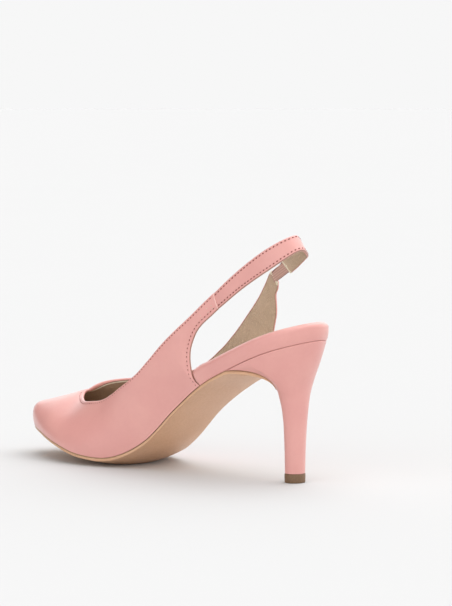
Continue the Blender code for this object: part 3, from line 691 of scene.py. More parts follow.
def dressed(finish, tone, rough=None, *layers):
    """Colour, roughness and relief from heights in millimetres, one over the other."""
    tree = finish.node_tree
    links = {"Base Color": tone, "Roughness": rough}
    for height, strength in layers:
        inputs = {"Height": height, "Strength": strength, "Distance": MM}
        if "Normal" in links:
            inputs["Normal"] = links["Normal"]
        links["Normal"] = wire(tree, "ShaderNodeBump", inputs).outputs["Normal"]
    for key, socket in links.items():
        if socket is not None:
            tree.links.new(socket, tree.nodes["Principled BSDF"].inputs[key])
    return finish


def place_of(tree, scale=(1, 1, 1), turn=(0, 0, 0)):
    """Object coordinates in millimetres, stretched and turned."""
    place = wire(tree, "ShaderNodeTexCoord").outputs["Object"]
    size = tuple(1000 * s for s in scale)
    return wire(tree, "ShaderNodeMapping", {"Vector": place, "Scale": size, "Rotation": turn}).outputs[0]


def noise(tree, vector, scale, detail=3.0, roughness=0.55):
    return wire(tree, "ShaderNodeTexNoise", {"Vector": vector, "Scale": scale, "Detail": detail,
                                             "Roughness": roughness}).outputs["Fac"]


def cells(tree, vector, scale, feature="SMOOTH_F1"):
    return wire(tree, "ShaderNodeTexVoronoi", {"Vector": vector, "Scale": scale},
                feature=feature).outputs["Distance"]


def ranged(tree, value, low, high, to_low=0.0, to_high=1.0, kind="LINEAR"):
    return wire(tree, "ShaderNodeMapRange", {"Value": value, "From Min": low, "From Max": high,
                                             "To Min": to_low, "To Max": to_high},
                interpolation_type=kind).outputs["Result"]


def soft(tree, value, low, high, to_low, to_high):
    return ranged(tree, value, low, high, to_low, to_high, "SMOOTHSTEP")


def sums(tree, operation, *values):
    return wire(tree, "ShaderNodeMath", dict(enumerate(values)), operation=operation).outputs[0]


def times(tree, first, second):
    return sums(tree, "MULTIPLY", first, second)


def mixed(tree, share, first, second):
    def colour(value):
        return value if isinstance(value, bpy.types.NodeSocket) else (*value, 1.0)
    return wire(tree, "ShaderNodeMix", {0: share, 6: colour(first), 7: colour(second)},
                data_type="RGBA").outputs[2]


def fact(tree, name):
    return wire(tree, "ShaderNodeAttribute", attribute_name=name).outputs["Fac"]


def leather_look(tree, place):
    """Colour, roughness and relief of the smooth pink leather."""
    tone = mixed(tree, ranged(tree, noise(tree, place, 0.035, 2.0), 0.35, 0.65), PINK, PINK_WARM)
    tone = mixed(tree, ranged(tree, noise(tree, place, 0.45), 0.3, 0.8, 0, 0.10), tone, PINK_DEEP)
    grain = ranged(tree, cells(tree, place, 2.2), 0.0, 0.75, 0, 0.020)
    waves = times(tree, noise(tree, place, 0.16, 2.0), 0.12)
    rough = ranged(tree, noise(tree, place, 1.3, 2.0), 0.3, 0.7, 0.33, 0.42)
    return tone, rough, grain, waves


def pink_leather():
    """Pink leather with a rolled rim, a painted highlight along the join to the sling, the vamp's seam
    with a painted shadow line, and painted shade under the rear and lower edges.
    """
    made, tree = new_finish("smooth_pink_leather", PINK, 0.38, 0.46, Coat_Weight=0.42,
                            Coat_Roughness=0.20)
    tone, rough, grain, waves = leather_look(tree, place_of(tree))
    rim, vamp = fact(tree, "rim"), fact(tree, "vamp_seam")
    roll = sums(tree, "ADD", soft(tree, rim, 0.9, 2.1, 0.0, -0.12), soft(tree, rim, 2.1, 5.0, 0.0, 0.12))
    step = soft(tree, vamp, -0.15, 0.15, 0.0, 0.5)
    from_line = sums(tree, "ABSOLUTE", sums(tree, "ADD", vamp, 0.12))
    # painted highlight: lighter pink along the quarter's rounded end where it overlaps the sling
    for share, colour in ((soft(tree, fact(tree, "join"), 0.20, 0.42, 0.9, 0.0), JOIN_HIGHLIGHT_PINK),
                          # painted shadow: a dark brown line along the step of the vamp's seam
                          (soft(tree, from_line, 0.05, 0.30, 0.75, 0.0), VAMP_SEAM_SHADOW),
                          # painted shade: brown just inside the outer quarter's rear edge and the
                          # sling's lower edge
                          (soft(tree, fact(tree, "under"), 0.28, 0.60, 0.8, 0.0), UNDER_EDGE_SHADE)):
        tone = mixed(tree, share, tone, colour)
    return dressed(made, tone, rough, (step, 0.8), (waves, 0.5), (roll, 0.8), (grain, 0.8))


def plain_leather(name):
    """The same leather on pieces without a rim or seam of their own."""
    made, tree = new_finish(name, PINK, 0.38, 0.46, Coat_Weight=0.36, Coat_Roughness=0.22)
    tone, rough, grain, waves = leather_look(tree, place_of(tree))
    return dressed(made, tone, rough, (waves, 0.5), (grain, 0.8))


def creases(tree, place):
    """Wrinkles drawn out along a slant, stronger in some patches."""
    slanted = place_of(tree, (1.0, 1.0, 0.62), (0.0, 0.6, 0.0))
    sway = wire(tree, "ShaderNodeTexNoise", {"Vector": slanted, "Scale": 0.14, "Detail": 3.0})
    drawn = wire(tree, "ShaderNodeVectorMath", {0: sway.outputs["Color"], 1: (9.0,) * 3, 2: slanted},
                 operation="MULTIPLY_ADD")
    folds = cells(tree, drawn.outputs[0], 0.70, "DISTANCE_TO_EDGE")
    patches = ranged(tree, noise(tree, place, 0.09, 2.0), 0.38, 0.60, 0.6, 1.0)
    return times(tree, soft(tree, folds, 0.02, 0.30, 1.0, 0.0), patches)


def lining_leather():
    """Beige lining with grain and wrinkles, behind the pink leather turned over the rim, with painted
    shade in the wrinkles and inside the throat, a painted highlight where it starts at the throat, and a
    dark line at its start that is partly its raw edge and partly painted shadow.
    """
    made, tree = new_finish("beige_lining_leather", LINING, 0.62, 0.35)
    place = place_of(tree)
    past = sums(tree, "SUBTRACT", fact(tree, "rim"), fact(tree, "fold"))
    ragged = times(tree, sums(tree, "SUBTRACT", noise(tree, place, 0.9, 2.0), 0.5), 2.4)
    cut = ranged(tree, sums(tree, "ADD", fact(tree, "cut_end"), ragged), 1.5, 1.75, 1, 0)
    turned = sums(tree, "MAXIMUM", ranged(tree, past, -0.06, 0.06), cut)
    fibres = noise(tree, place, 1.9, 4.0, 0.7)
    crease, throat = creases(tree, place), fact(tree, "throat")
    beige = mixed(tree, ranged(tree, noise(tree, place, 0.20, 4.0), 0.32, 0.68), LINING, LINING_LIGHT)
    for share, colour in ((ranged(tree, fibres, 0.35, 0.68, 0.24, 0.0), LINING_DARK),
                          # painted shade: the lining darkened in its creases
                          (times(tree, crease, 0.22), LINING_DARK),
                          # painted shade: the lining darkened inside the throat
                          (times(tree, throat, 0.72), THROAT_SHADE),
                          # painted highlight: a cream strip where the lining starts at the throat
                          (times(tree, ranged(tree, past, 0.9, 1.3, 1, 0), throat), CREAM),
                          (cut, CREAM)):
        beige = mixed(tree, share, beige, colour)
    tone, _, grain, _ = leather_look(tree, place)
    # dark line where the lining starts: partly the raw edge of the turned leather, partly painted
    # shadow, strongest at the throat
    from_seam = sums(tree, "ABSOLUTE", sums(tree, "SUBTRACT", past, 0.14))
    seam = soft(tree, from_seam, 0.08, 0.26, 0.9, 0.0)
    for share in (ranged(tree, throat, 0, 1, 0.35, 1.0), sums(tree, "SUBTRACT", 1.0, cut)):
        seam = times(tree, seam, share)
    whole = mixed(tree, seam, mixed(tree, turned, tone, beige), TURNED_EDGE_AND_SHADOW)
    lip = soft(tree, past, 0.0, 0.25, 0.25, 0.0)
    wrinkle = times(tree, times(tree, crease, -0.36), turned)
    return dressed(made, whole, ranged(tree, turned, 0, 1, 0.40, 0.66), (lip, 0.8), (wrinkle, 0.8),
                   (times(tree, fibres, 0.16), 0.8), (grain, 0.6))


def sock_leather():
    made, tree = new_finish("beige_sock_leather", LINING_LIGHT, 0.55, 0.38)
    place = place_of(tree)
    blotch = ranged(tree, noise(tree, place, 0.06), 0.35, 0.65)
    fibres = noise(tree, place, 1.9, 4.0, 0.65)
    tone = mixed(tree, blotch, (0.64, 0.48, 0.34), LINING_LIGHT)
    tone = mixed(tree, ranged(tree, fibres, 0.35, 0.7, 0.18, 0.0), tone, (0.30, 0.21, 0.135))
    pores = ranged(tree, cells(tree, place, 1.5), 0, 0.7, 0, 0.05)
    return dressed(made, tone, ranged(tree, fibres, 0.3, 0.7, 0.48, 0.62), (pores, 0.8),
                   (times(tree, fibres, 0.05), 0.6))


def sole_leather():
    """Tan sole leather, clouded, and scuffed along its length."""
    made, tree = new_finish("tan_sole_leather", (0.56, 0.33, 0.195), 0.44, 0.45, Coat_Weight=0.12,
                            Coat_Roughness=0.35)
    place = place_of(tree)
    cloud = ranged(tree, noise(tree, place, 0.03), 0.35, 0.65)
    scuffs = noise(tree, place_of(tree, (0.12, 1.0, 1.0)), 1.1, 4.0, 0.6)
    tone = mixed(tree, cloud, (0.640, 0.375, 0.218), (0.700, 0.425, 0.262))
    tone = mixed(tree, ranged(tree, scuffs, 0.40, 0.75, 0.0, 0.22), tone, (0.40, 0.215, 0.12))
    fine = noise(tree, place, 3.2)
    return dressed(made, tone, ranged(tree, scuffs, 0.3, 0.7, 0.38, 0.52),
                   (times(tree, scuffs, 0.05), 0.5), (times(tree, fine, 0.03), 0.6))


def patchy_finish(name, colour, roughness, level, patch, tones, roughs, relief, strength=0.6, fine=None):
    """A finish that goes from one tone to another in patches, with fine relief."""
    made, tree = new_finish(name, colour, roughness, level)
    place = place_of(tree)
    spots = noise(tree, place, *patch)
    rise = noise(tree, place, *fine) if fine else spots
    return dressed(made, mixed(tree, ranged(tree, spots, 0.3, 0.7), *tones),
                   ranged(tree, spots, 0.3, 0.7, *roughs), (times(tree, rise, relief), strength))


def thread_finish(name, colour, roughness=0.55):
    darker = tuple(0.78 * part for part in colour)
    return patchy_finish(name, colour, roughness, 0.35, (4.0, 2.0), (darker, colour),
                         (roughness - 0.06, roughness + 0.08), 0.06, 0.5)


def elastic_weave():
    """Dusty pink elastic, ribbed along its length, with a dark selvedge."""
    made, tree = new_finish("ribbed_pink_elastic", (0.42, 0.235, 0.20), 0.80, 0.25, Sheen_Weight=0.25,
                            Sheen_Roughness=0.5)
    ribs, picks = (sums(tree, "SINE", times(tree, fact(tree, way), 2 * math.pi / pitch))
                   for way, pitch in (("across", ELASTIC_RIB), ("along", ELASTIC_PICK)))
    knit = times(tree, ribs, sums(tree, "ADD", times(tree, picks, 0.3), 0.7))
    tone = mixed(tree, ranged(tree, knit, -0.9, 0.9), (0.46, 0.25, 0.205), (0.98, 0.70, 0.60))
    selvedge = soft(tree, fact(tree, "rim"), 0.5, 0.8, 0.75, 0.0)
    return dressed(made, mixed(tree, selvedge, tone, (0.16, 0.045, 0.035)),
                   ranged(tree, knit, -1, 1, 0.88, 0.74), (times(tree, knit, 0.14), 0.9))


# Stitches

def stitch_rows(thread, length, width, height, pitch, start, slant, wander):
    """Nodes that set stitches at even steps along a line, lying on the face beneath them."""
    tree = bpy.data.node_groups.new("stitches_along_a_line", "GeometryNodeTree")
    for way in ("INPUT", "OUTPUT"):
        tree.interface.new_socket("Geometry", in_out=way, socket_type="NodeSocketGeometry")

    def node(kind, output, inputs=None, **settings):
        return wire(tree, kind, inputs, **settings).outputs[output]

    def used(sockets, *names):
        return [socket for socket in sockets if socket.name in names and socket.enabled]

    given = node("NodeGroupInput", "Geometry")
    line = node("GeometryNodeMeshToCurve", "Curve", {"Mesh": given})
    cut = wire(tree, "GeometryNodeTrimCurve", {"Curve": line}, mode="LENGTH")
    for socket, value in zip(used(cut.inputs, "Start", "End"), (start, 10.0)):
        socket.default_value = value
    dots = node("GeometryNodeResampleCurve", "Curve", {"Curve": cut.outputs["Curve"], "Length": pitch},
                mode="LENGTH")
    out = node("GeometryNodeInputNamedAttribute", "Attribute", {"Name": "face_out"},
               data_type="FLOAT_VECTOR")
    upright = node("FunctionNodeAlignRotationToVector", "Rotation", {"Vector": out}, axis="Z")
    ahead = node("GeometryNodeInputTangent", "Tangent")
    lie = node("FunctionNodeAlignRotationToVector", "Rotation", {"Rotation": upright, "Vector": ahead},
               axis="X", pivot_axis="Z")
    random = wire(tree, "FunctionNodeRandomValue", {"Seed": 3}, data_type="FLOAT")
    for socket, value in zip(used(random.inputs, "Min", "Max"), (-1.0, 1.0)):
        socket.default_value = value
    swing = sums(tree, "ADD", times(tree, used(random.outputs, "Value")[0], wander), slant)
    tilt = node("ShaderNodeCombineXYZ", 0, {"Z": swing})
    turned = node("FunctionNodeRotateRotation", "Rotation", {"Rotation": lie, "Rotate By": tilt},
                  rotation_space="LOCAL")
    bead = node("GeometryNodeMeshUVSphere", "Mesh", {"Segments": 8, "Rings": 5, "Radius": 0.5})
    bead = node("GeometryNodeSetShadeSmooth", "Geometry", {"Geometry": bead})
    beads = node("GeometryNodeInstanceOnPoints", "Instances", {
        "Points": dots, "Instance": bead, "Rotation": turned, "Scale": (length, width, height)})
    beads = node("GeometryNodeRealizeInstances", "Geometry", {"Geometry": beads})
    dyed = node("GeometryNodeSetMaterial", "Geometry", {"Geometry": beads, "Material": thread})
    wire(tree, "NodeGroupOutput", {"Geometry": dyed})
    return tree


def sew(name, lines, thread, size, pitch=STITCH_PITCH, start=0.0, slant=0.0, wander=0.08):
    """Stitches, or dark beads of painted shade for the needle holes, along lines, each its points and
    the directions out of the face.
    """
    vertices, edges, outs = [], [], []
    for points, out in lines:
        first = len(vertices)
        vertices += (points - np.array([STEM_CENTRE, 0, 0])).tolist()
        outs += out.tolist()
        edges += [(first + i, first + i + 1) for i in range(len(points) - 1)]
    mesh = bpy.data.meshes.new(name + "_line")
    mesh.from_pydata(vertices, edges, [])
    mesh.attributes.new("face_out", "FLOAT_VECTOR", "POINT").data.foreach_set("vector", np.ravel(outs))
    guide = added(name + "_line", mesh)
    rows = guide.modifiers.new("stitches", "NODES")
    rows.node_group = stitch_rows(thread, *(part * MM for part in size), pitch, start, slant, wander)
    bpy.context.view_layer.update()
    made = bpy.data.meshes.new_from_object(guide.evaluated_get(bpy.context.evaluated_depsgraph_get()))
    guide.modifiers.remove(rows)
    bpy.data.objects.remove(guide)
    made.name = name
    if not made.materials:
        made.materials.append(thread)
    finished(added(name, made))


def line_on(grid, normal, gap, offset, keep, from_top=True):
    """The line at a distance from a rim, a point on each kept row of a grid, and its directions out."""
    if from_top:
        grid, normal, gap = grid[:, ::-1], normal[:, ::-1], gap[:, ::-1]
    points, outs = [], []
    for r in np.nonzero(keep)[0]:
        over = np.nonzero(gap[r] >= offset)[0]
        if len(over) and over[0]:
            k = over[0]
            share = (offset - gap[r, k - 1]) / (gap[r, k] - gap[r, k - 1])
            points.append(between(grid[r, k - 1], grid[r, k], share))
            outs.append(between(normal[r, k - 1], normal[r, k], share))
    outs = np.array(outs)
    return np.array(points), outs / np.linalg.norm(outs, axis=1, keepdims=True)


# Pieces

def soft_throat(grid, opened, inner_opened):
    """The grid with its topline evened out round the throat, and the upper part of its ribs with it."""
    rows = len(grid)
    order = [*range(opened), *range(rows - inner_opened, rows)]
    line = grid[order, -1]
    near, dip = (np.exp(-(np.linalg.norm(line - spot, axis=1) / reach) ** 2)[:, None]
                 for spot, reach in ((THROAT_CORNER, 7 * MM), (INNER_DIP, 16 * MM)))
    moved = line + near * THROAT_SHIFT - dip * np.array([0, 0, 2 * MM])
    shift = softened(moved, THROAT_REACH, soft_step(line[:, 0] / LENGTH, *THROAT_SIDES)) - line
    past = grid[:, -1, 0] - line[opened - 1, 0]
    moves = shift[opened - 1] * (1 - soft_step(past, 0.0, 9 * MM))[:, None]
    moves[order] = shift
    steps = np.linalg.norm(np.diff(grid, axis=1), axis=2)
    lengths = np.concatenate([np.zeros((rows, 1)), np.cumsum(steps, axis=1)], axis=1)
    part = lengths / lengths[:, -1:]
    grid = grid + moves[:, None] * soft_step(part, 0.35, 1.0)[..., None]
    at = grid[:, 0, 0] / LENGTH
    ahead = soft_step(at, *TOE_SIDES[:2]) * (1 - soft_step(at, *TOE_SIDES[2:]))
    free = np.clip(np.minimum(part / 0.2, (1 - part) / 0.12), 0, 1)
    for column in range(1, grid.shape[1] - 1):
        grid[:, column] = softened(grid[:, column], TOE_REACH, ahead * free[:, column])
    return grid


def vamp_distance(grid, is_inner):
    """Distance in mm ahead of the vamp's seam on the inner side, which bows as it rises."""
    foot, top = feather(SEAM_FOOT, INNER), placed(*SEAM_TOP)
    facing = unit(np.array([top[2] - foot[2], foot[0] - top[0]]))
    ahead = ((grid[..., 0] - foot[0]) * facing[0] + (grid[..., 2] - foot[2]) * facing[1]) / MM
    rise = np.clip((grid[..., 2] - foot[2]) / (top[2] - foot[2]), 0, 1)
    return np.where(is_inner[:, None], ahead + SEAM_BOW * np.sin(rise * math.pi), FAR)


def vamp_stitches(grid, normal, vamp, from_topline):
    """The stitch line beside the vamp's seam, from the sole to just below the topline."""
    points, outs = [], []
    for r, past in enumerate(vamp - VAMP_STITCH):
        if past.min() < 0 < past.max():
            k = np.nonzero(np.diff(np.sign(past)))[0][0]
            if from_topline[r, k] > VAMP_CLEAR:
                points.append(between(grid[r, k], grid[r, k + 1], past[k] / (past[k] - past[k + 1])))
                outs.append(normal[r, k])
    return np.array(points), np.array(outs)


def make_upper():
    """Vamp and quarters in one sheet. Gives its stitch lines, the throat's, its grid and normals."""
    outer, opened, tabbed = upper_rows(OUTER)
    inner, inner_opened, inner_tabbed = upper_rows(INNER)
    grid = np.array(outer + [closed_rib(1.0, OUTER)] + inner[::-1])
    grid = soft_throat(grid, opened, inner_opened)
    rows, columns = grid.shape[:2]
    number = np.arange(rows)
    is_open = (number < opened) | (number >= rows - inner_opened)
    topline = grid[is_open, -1]
    rears = grid[:tabbed + 1, 0], grid[rows - inner_tabbed - 1:, 0]
    from_topline, from_join, from_cut, from_outer, from_inner = (
        distance_to(line, grid) for line in (topline, grid[0], grid[-1], *rears))
    vamp = vamp_distance(grid, number > len(outer))
    corner = np.exp(-(np.linalg.norm(grid - THROAT_CORNER, axis=2) / (9 * MM)) ** 2)
    facts = {"vamp_seam": vamp,
             "cut_end": np.minimum(from_cut / MM, FAR),
             "join": np.minimum(from_join / MM, FAR),
             "throat": np.clip((grid[..., 0] / LENGTH - 0.66) / 0.08, 0, 1),
             "fold": np.where(from_inner < from_topline, 0.1, FOLD + THROAT_FOLD * corner),
             "under": np.minimum(from_outer / MM, FAR)}
    rims = list(zip((topline, *rears, grid[0], grid[-1]), (1.0, 1.0, 1.0, 3.0, 2.0)))
    foot = range(tabbed * columns, (rows - inner_tabbed) * columns, columns)
    normal = rounded_sheet("upper_leather", "upper", grid, rims, WALL,
                           [LEATHER, LINER], facts, foot)
    to_throat = np.clip((grid[:, -1, 0] / LENGTH - 0.6) / 0.15, 0, 1)
    offset = TOPLINE_STITCH + (THROAT_STITCH - TOPLINE_STITCH) * to_throat
    keep = np.minimum(from_join, from_cut) > END_CLEAR
    points, outs = line_on(grid[is_open], normal[is_open], (from_topline / offset[:, None])[is_open],
                           1.0, keep[is_open, -1])
    first, last = np.nonzero(points[:, 0] > 0.69 * LENGTH)[0][[0, -1]]
    lines = [(points[:first + 1], outs[:first + 1]), (points[last:], outs[last:])]
    for part, gap in ((slice(0, tabbed + REAR_ROWS), from_outer),
                      (slice(rows - inner_tabbed - REAR_ROWS, rows), from_inner)):
        lines.append(line_on(grid[part], normal[part], gap[part], REAR_STITCH, keep[part, 0], False))
    lines.append(vamp_stitches(grid, normal, vamp, from_topline))
    return lines, [(points[first:last + 1], outs[first:last + 1])], grid, normal


def make_sling():
    """The strap from the outer seam round the back to the elastic, its front end under the quarter."""
    lead = []
    for back, sunk in ((0.45, 0.5), (0.0, 0.22)):
        ends = tab_rib(OUTER_TAB.key[-1] - back, OUTER)[[0, -1]]
        line = straight(*ends, 0.02, 0.98) - np.array([0, sunk * MM, 0])
        lead.append(spread(line, RIM_PADS[:7], 9))
    rows = [spread(straight(low, top), RIM_PADS[:7], 9) for low, top in SLING_EDGES]
    grid = np.array(lead + end_rows(rows)[::-1])[::-1]
    rims = [grid[:, 0], grid[:, -1], grid[0], grid[-1]]
    from_low, from_top, from_cut = (distance_to(line, grid) for line in rims[:3])
    far = np.full(grid.shape[:2], FAR)
    facts = {"vamp_seam": far, "join": far, "throat": far * 0, "fold": far * 0 + SLING_FOLD,
             "under": from_low / MM, "cut_end": np.minimum(from_cut / MM, FAR)}
    normal = rounded_sheet("sling_leather", "sling_strap", grid,
                           list(zip(rims, (1.0, 1.0, 2.0, 2.0))), WALL, [LEATHER, LINER], facts)
    keep = from_cut[:, 0] > STRAP_CLEAR
    keep[-1] = False
    lines = [line_on(grid, normal, gap, STRAP_STITCH, keep, from_top)
             for gap, from_top in ((from_top, True), (from_low, False))]
    return [(points[::-1], outs[::-1]) for points, outs in lines], grid


def make_elastic(sling_end):
    """Elastic between the sling's end and the inner tab, its ends tucked under both."""
    tab_end = tab_rib(INNER_TAB.key[-1], INNER)
    middle = np.array([0.0, (WALL - ELASTIC_THICK) / 2, 0.0])
    rows = []
    for share in np.linspace(-0.22, 1.22, 40):
        low, top = between(sling_end[[0, -1]], tab_end[[0, -1]], share) + middle
        inset = (top - low) * ELASTIC_INSET
        rows.append(spread(straight(low + inset, top - inset), RIM_PADS[:6], 26))
    grid = np.array(rows)[::-1]
    across = np.linalg.norm(grid - grid[:, :1], axis=2) / MM
    along = np.linalg.norm(grid - grid[:1], axis=2) / MM
    ripple = 0.07 * MM * np.sin(across * 2 * math.pi / ELASTIC_RIB)
    grid = grid + grid_normals(grid) * ripple[..., None]
    rims = [(line, 1.0) for line in (grid[:, 0], grid[:, -1], grid[0], grid[-1])]
    rounded_sheet("elastic_webbing", "elastic", grid, rims, ELASTIC_THICK,
                  [WEBBING, WEBBING], {"across": across, "along": along})


def sole_turns(first, last, count):
    """Turns from one share of the length to another, closer together where the quarters end."""
    turns = list(np.linspace(turn_of(first), turn_of(last), count))
    for low, high, rows in DENSE_ROWS:
        turns += [turn_of(at) for at in np.linspace(low, high, rows) if first < at < last]
    return sorted(turns)


def make_seat_cover():
    """Pink leather over the seat board, which shows as the rand, with the insole under the upper."""
    levels = [0, 0.04, 0.1, 0.18, 0.28, 0.4, 0.5, 0.6, 0.7, 0.78, 0.85, 0.9, 0.94, 0.97, 1.0]
    shares = np.linspace(0, 1, RINGS_OVER + 1)[1:-1]
    rings = []
    for turn in sole_turns(0.0, 1.0, 120):
        outer, inner = (np.array([insole_edge(turn, side, level) for level in levels])
                        for side in (OUTER, INNER))
        under = between(inner[0], outer[0], shares[:, None])
        over = between(outer[-1], inner[-1], shares[:, None])
        over[:, 2] -= seat_dish(outer[-1], inner[-1], shares)
        rings.append(np.vstack([under, outer, over, inner[::-1]]))
    rings = np.array(rings)
    make_piece("seat_cover", "insole", rings,
               grid_faces(*rings.shape[:2], closed=True), [COVER])


def make_sock():
    """Beige sock over the seat and insole, its edge just inside the rand's top."""
    shares = np.linspace(0, 1, 121)
    rows = []
    for turn in np.linspace(0, math.pi, 130):
        edges = []
        for side in (OUTER, INNER):
            inset = RAND_BULGE * 0.9 + 1.0 * MM + 0.9 * MM * soft_step(along_of(turn), 0.28, 0.36)
            flat = outline_point(turn, side) - outline_normal(turn, side) * inset
            at = flat[0] / LENGTH
            edges.append(np.array([*flat, line_height(at) + seat_thickness(at) + SOCK_LIFT]))
        line = straight(*edges, count=len(shares))
        line[:, 2] -= seat_dish(*edges, shares)
        narrow = np.linalg.norm(edges[0] - edges[1]) <= 1e-4 * BALL_WIDTH
        rows.append(np.repeat(line[:1], 30, axis=0) if narrow else spread(line, RIM_PADS[:6], 18))
    grid = np.array(rows)
    rim = np.concatenate([grid[:, 0], grid[::-1, -1]])
    rounded_sheet("sock_lining", None, grid, [(rim, 1.0)], SOCK_THICK, [SOCK, SOCK])


def sole_loop(under, over):
    """A closed ring of the sole with softly rounded edges between its two sides."""
    sides = []
    for start, end, inner in ((under[-1], over[-1], under[-2]), (over[0], under[0], over[1])):
        out = start - inner
        out /= max(np.linalg.norm(out), 1e-9)
        t = np.array([0.12, 0.32, 0.68, 0.88])[:, None]
        sides.append(between(start, end, t) + out * 0.22 * MM * np.sin(t * math.pi))
    return np.vstack([under, sides[0], over[::-1], sides[1]])


def make_outsole():
    """Tan sole with a painted edge, and the tongue that turns down the heel breast."""
    shares = np.linspace(0, 1, SOLE_ACROSS + 1)
    rings = []
    for turn in sole_turns(BREAST_AT / LENGTH, 1.0, 110)[:0:-1]:
        edges = [outline_point(turn, side) - outline_normal(turn, side) * SOLE_INSET
                 for side in (OUTER, INNER)]
        edge, crown = (SOLE.read(column, along_of(turn)) for column in ("edge", "crown"))
        flat = between(*edges, shares[:, None])
        top = line_height(flat[:, 0] / LENGTH) - SOLE_GAP
        drop = SOLE_EDGE * edge + SOLE_CROWN * crown * (4 * shares * (1 - shares))
        rings.append(sole_loop(np.column_stack([flat, np.maximum(top - drop, 0.0)]),
                               np.column_stack([flat, top])))
    ends = list(zip(*breast_edge(np.linspace(0.045, 0.955, SOLE_ACROSS + 1), 0.3 * MM)))
    patch = np.array([[flare_point(top, angle, t) for top, angle in ends]
                      for t in np.linspace(0.0, 0.86, 30)])
    normal = np.cross(np.gradient(patch, axis=1), np.gradient(patch, axis=0))
    normal /= np.linalg.norm(normal, axis=2)[..., None]
    over = patch + normal * TONGUE_GAP
    thin = 1 - 0.86 * soft_step(np.linspace(0, 1, len(patch)), 0.30, 1.0)[:, None, None]
    under = patch + normal * (TONGUE_GAP + (TONGUE_GAP + TONGUE_THICK) * thin)
    rings = np.array(rings + [sole_loop(low, high) for low, high in zip(under, over)])
    rows, columns = rings.shape[:2]
    faces = grid_faces(rows, columns, closed=True)
    painted = (SOLE_ACROSS + 3, SOLE_ACROSS + 4, columns - 5, columns - 4)
    kinds = [1 if face[0] % columns in painted else 0 for face in faces] + [1]
    make_piece("outsole_leather", "outsole", rings,
               faces + end_faces(rows, columns)[1:], [SOLE_TAN, SOLE_BROWN], kinds, sharp=50)


def make_heel():
    """Covered heel: its wings under the seat, the breast, and the slender stem."""
    seat_turns = list(np.linspace(0.0, turn_of(BREAST_AT / LENGTH), 44))
    edge, angles = breast_edge(np.linspace(0, 1, BREAST_ACROSS + 1), GROOVE)
    for side, order in ((INNER, seat_turns[-2::-1]), (OUTER, seat_turns[1:-1])):
        for turn in order:
            edge.append(feather(along_of(turn), side) - np.array([0, 0, GROOVE]))
            angles.append(side * (math.pi - (math.pi - WING_ANGLE) * turn / seat_turns[-1]))
    arches = [np.array([flare_point(top, angle, t) for top, angle in zip(edge, angles)])
              for t in np.linspace(0, 1, 40)]
    rings = []
    for inset, drop in ((2.5, 0.0), (0.5, 0.0), (0.22, 0.03), (0.07, 0.12), (0.0, 0.30)):
        ring = arches[0].copy()
        inward = np.array([BREAST_AT * 0.5, 0.0]) - ring[:, :2]
        ring[:, :2] += inward / np.linalg.norm(inward, axis=1, keepdims=True) * inset * MM
        ring[:, 2] -= drop * MM
        rings.append(ring)
    heights = [*np.linspace(STEM_TOP, TOP_PIECE + 0.35 * MM, 16)[1:],
               TOP_PIECE + 0.12 * MM, TOP_PIECE + 0.02 * MM]
    rings = np.array(rings + arches[1:] + [stem_section(height, angles) for height in heights])
    centre = rings[-1].mean(0)[:2]
    rings[-1, :, :2] = centre + (rings[-1, :, :2] - centre) * 0.97
    rows, columns = rings.shape[:2]
    make_piece("heel_cover", "heel", rings,
               grid_faces(rows, columns, closed=True) + end_faces(rows, columns), [HEEL_PINK], sharp=55)


def make_top_piece():
    """Walking piece under the stem, a hair wider than the heel, with worn edges."""
    angles = np.linspace(0, 2 * math.pi, 72, endpoint=False)
    rings = []
    for height, grow in ((0.0, -0.35), (0.05, -0.12), (0.2, 0.06), (0.5, 0.16), (2.4, 0.20), (4.8, 0.22),
                         (5.15, 0.14), (5.32, -0.02), (5.4, -0.25)):
        ring = stem_section(TOP_PIECE, angles)
        ring[:, 2] = height * MM
        out = ring[:, :2] - ring.mean(0)[:2]
        ring[:, :2] += out / np.linalg.norm(out, axis=1, keepdims=True) * grow * MM
        rings.append(ring)
    rings = np.array(rings)
    rows, columns = rings.shape[:2]
    make_piece("top_piece_rubber", "top_piece", rings,
               grid_faces(rows, columns, closed=True) + end_faces(rows, columns), [RUBBER], sharp=60)


# Studio

CAMERA_PLACE = (-1.068258, 1.196542, 0.227045)
CAMERA_YAW, CAMERA_DOWN = -0.8172168, 0.0767329
CAMERA_LENS = 166.36
ROOM = 0.93                  # brightness of the white room at eye height
DARKEST = 0.04
AHEAD = (0.684, -0.729)      # where the camera looks, in plan
SIDE = (-0.729, -0.684)      # to the right of the picture
FLOOR_HALF = 60

# Soft lights: how far ahead, to the side and up they are, the cosines where their glow starts
# and is full, and their power
SOFT_LIGHTS = (
    ((0.0, 0.0, 1.0), 0.25, 0.62, -0.45),
    ((0.1, 0.25, 1.0), 0.7, 0.93, 1.85),
    ((0.75, 0.0, 0.62), 0.8, 0.97, 1.25),
    ((-0.35, 0.85, 0.4), 0.7, 0.97, 0.14),
    ((-0.75, -0.45, 0.35), 0.55, 0.97, 0.72),
    ((0.3, -0.95, 0.15), 0.72, 0.97, -0.75),
    ((-1.0, 0.1, 0.15), 0.6, 0.97, 0.12),
    ((0.6, -0.6, 0.5), 0.75, 0.97, -0.6),
    ((0.5, 0.8, 0.35), 0.75, 0.97, 0.9))


def floor_finish():
    made, tree = new_finish("pale_studio_floor", (0.636,) * 3, 0.9, 0.0)
    cloud = noise(tree, place_of(tree), 0.004, 2.0)
    return dressed(made, mixed(tree, ranged(tree, cloud, 0.3, 0.7), (0.635,) * 3, (0.637,) * 3))


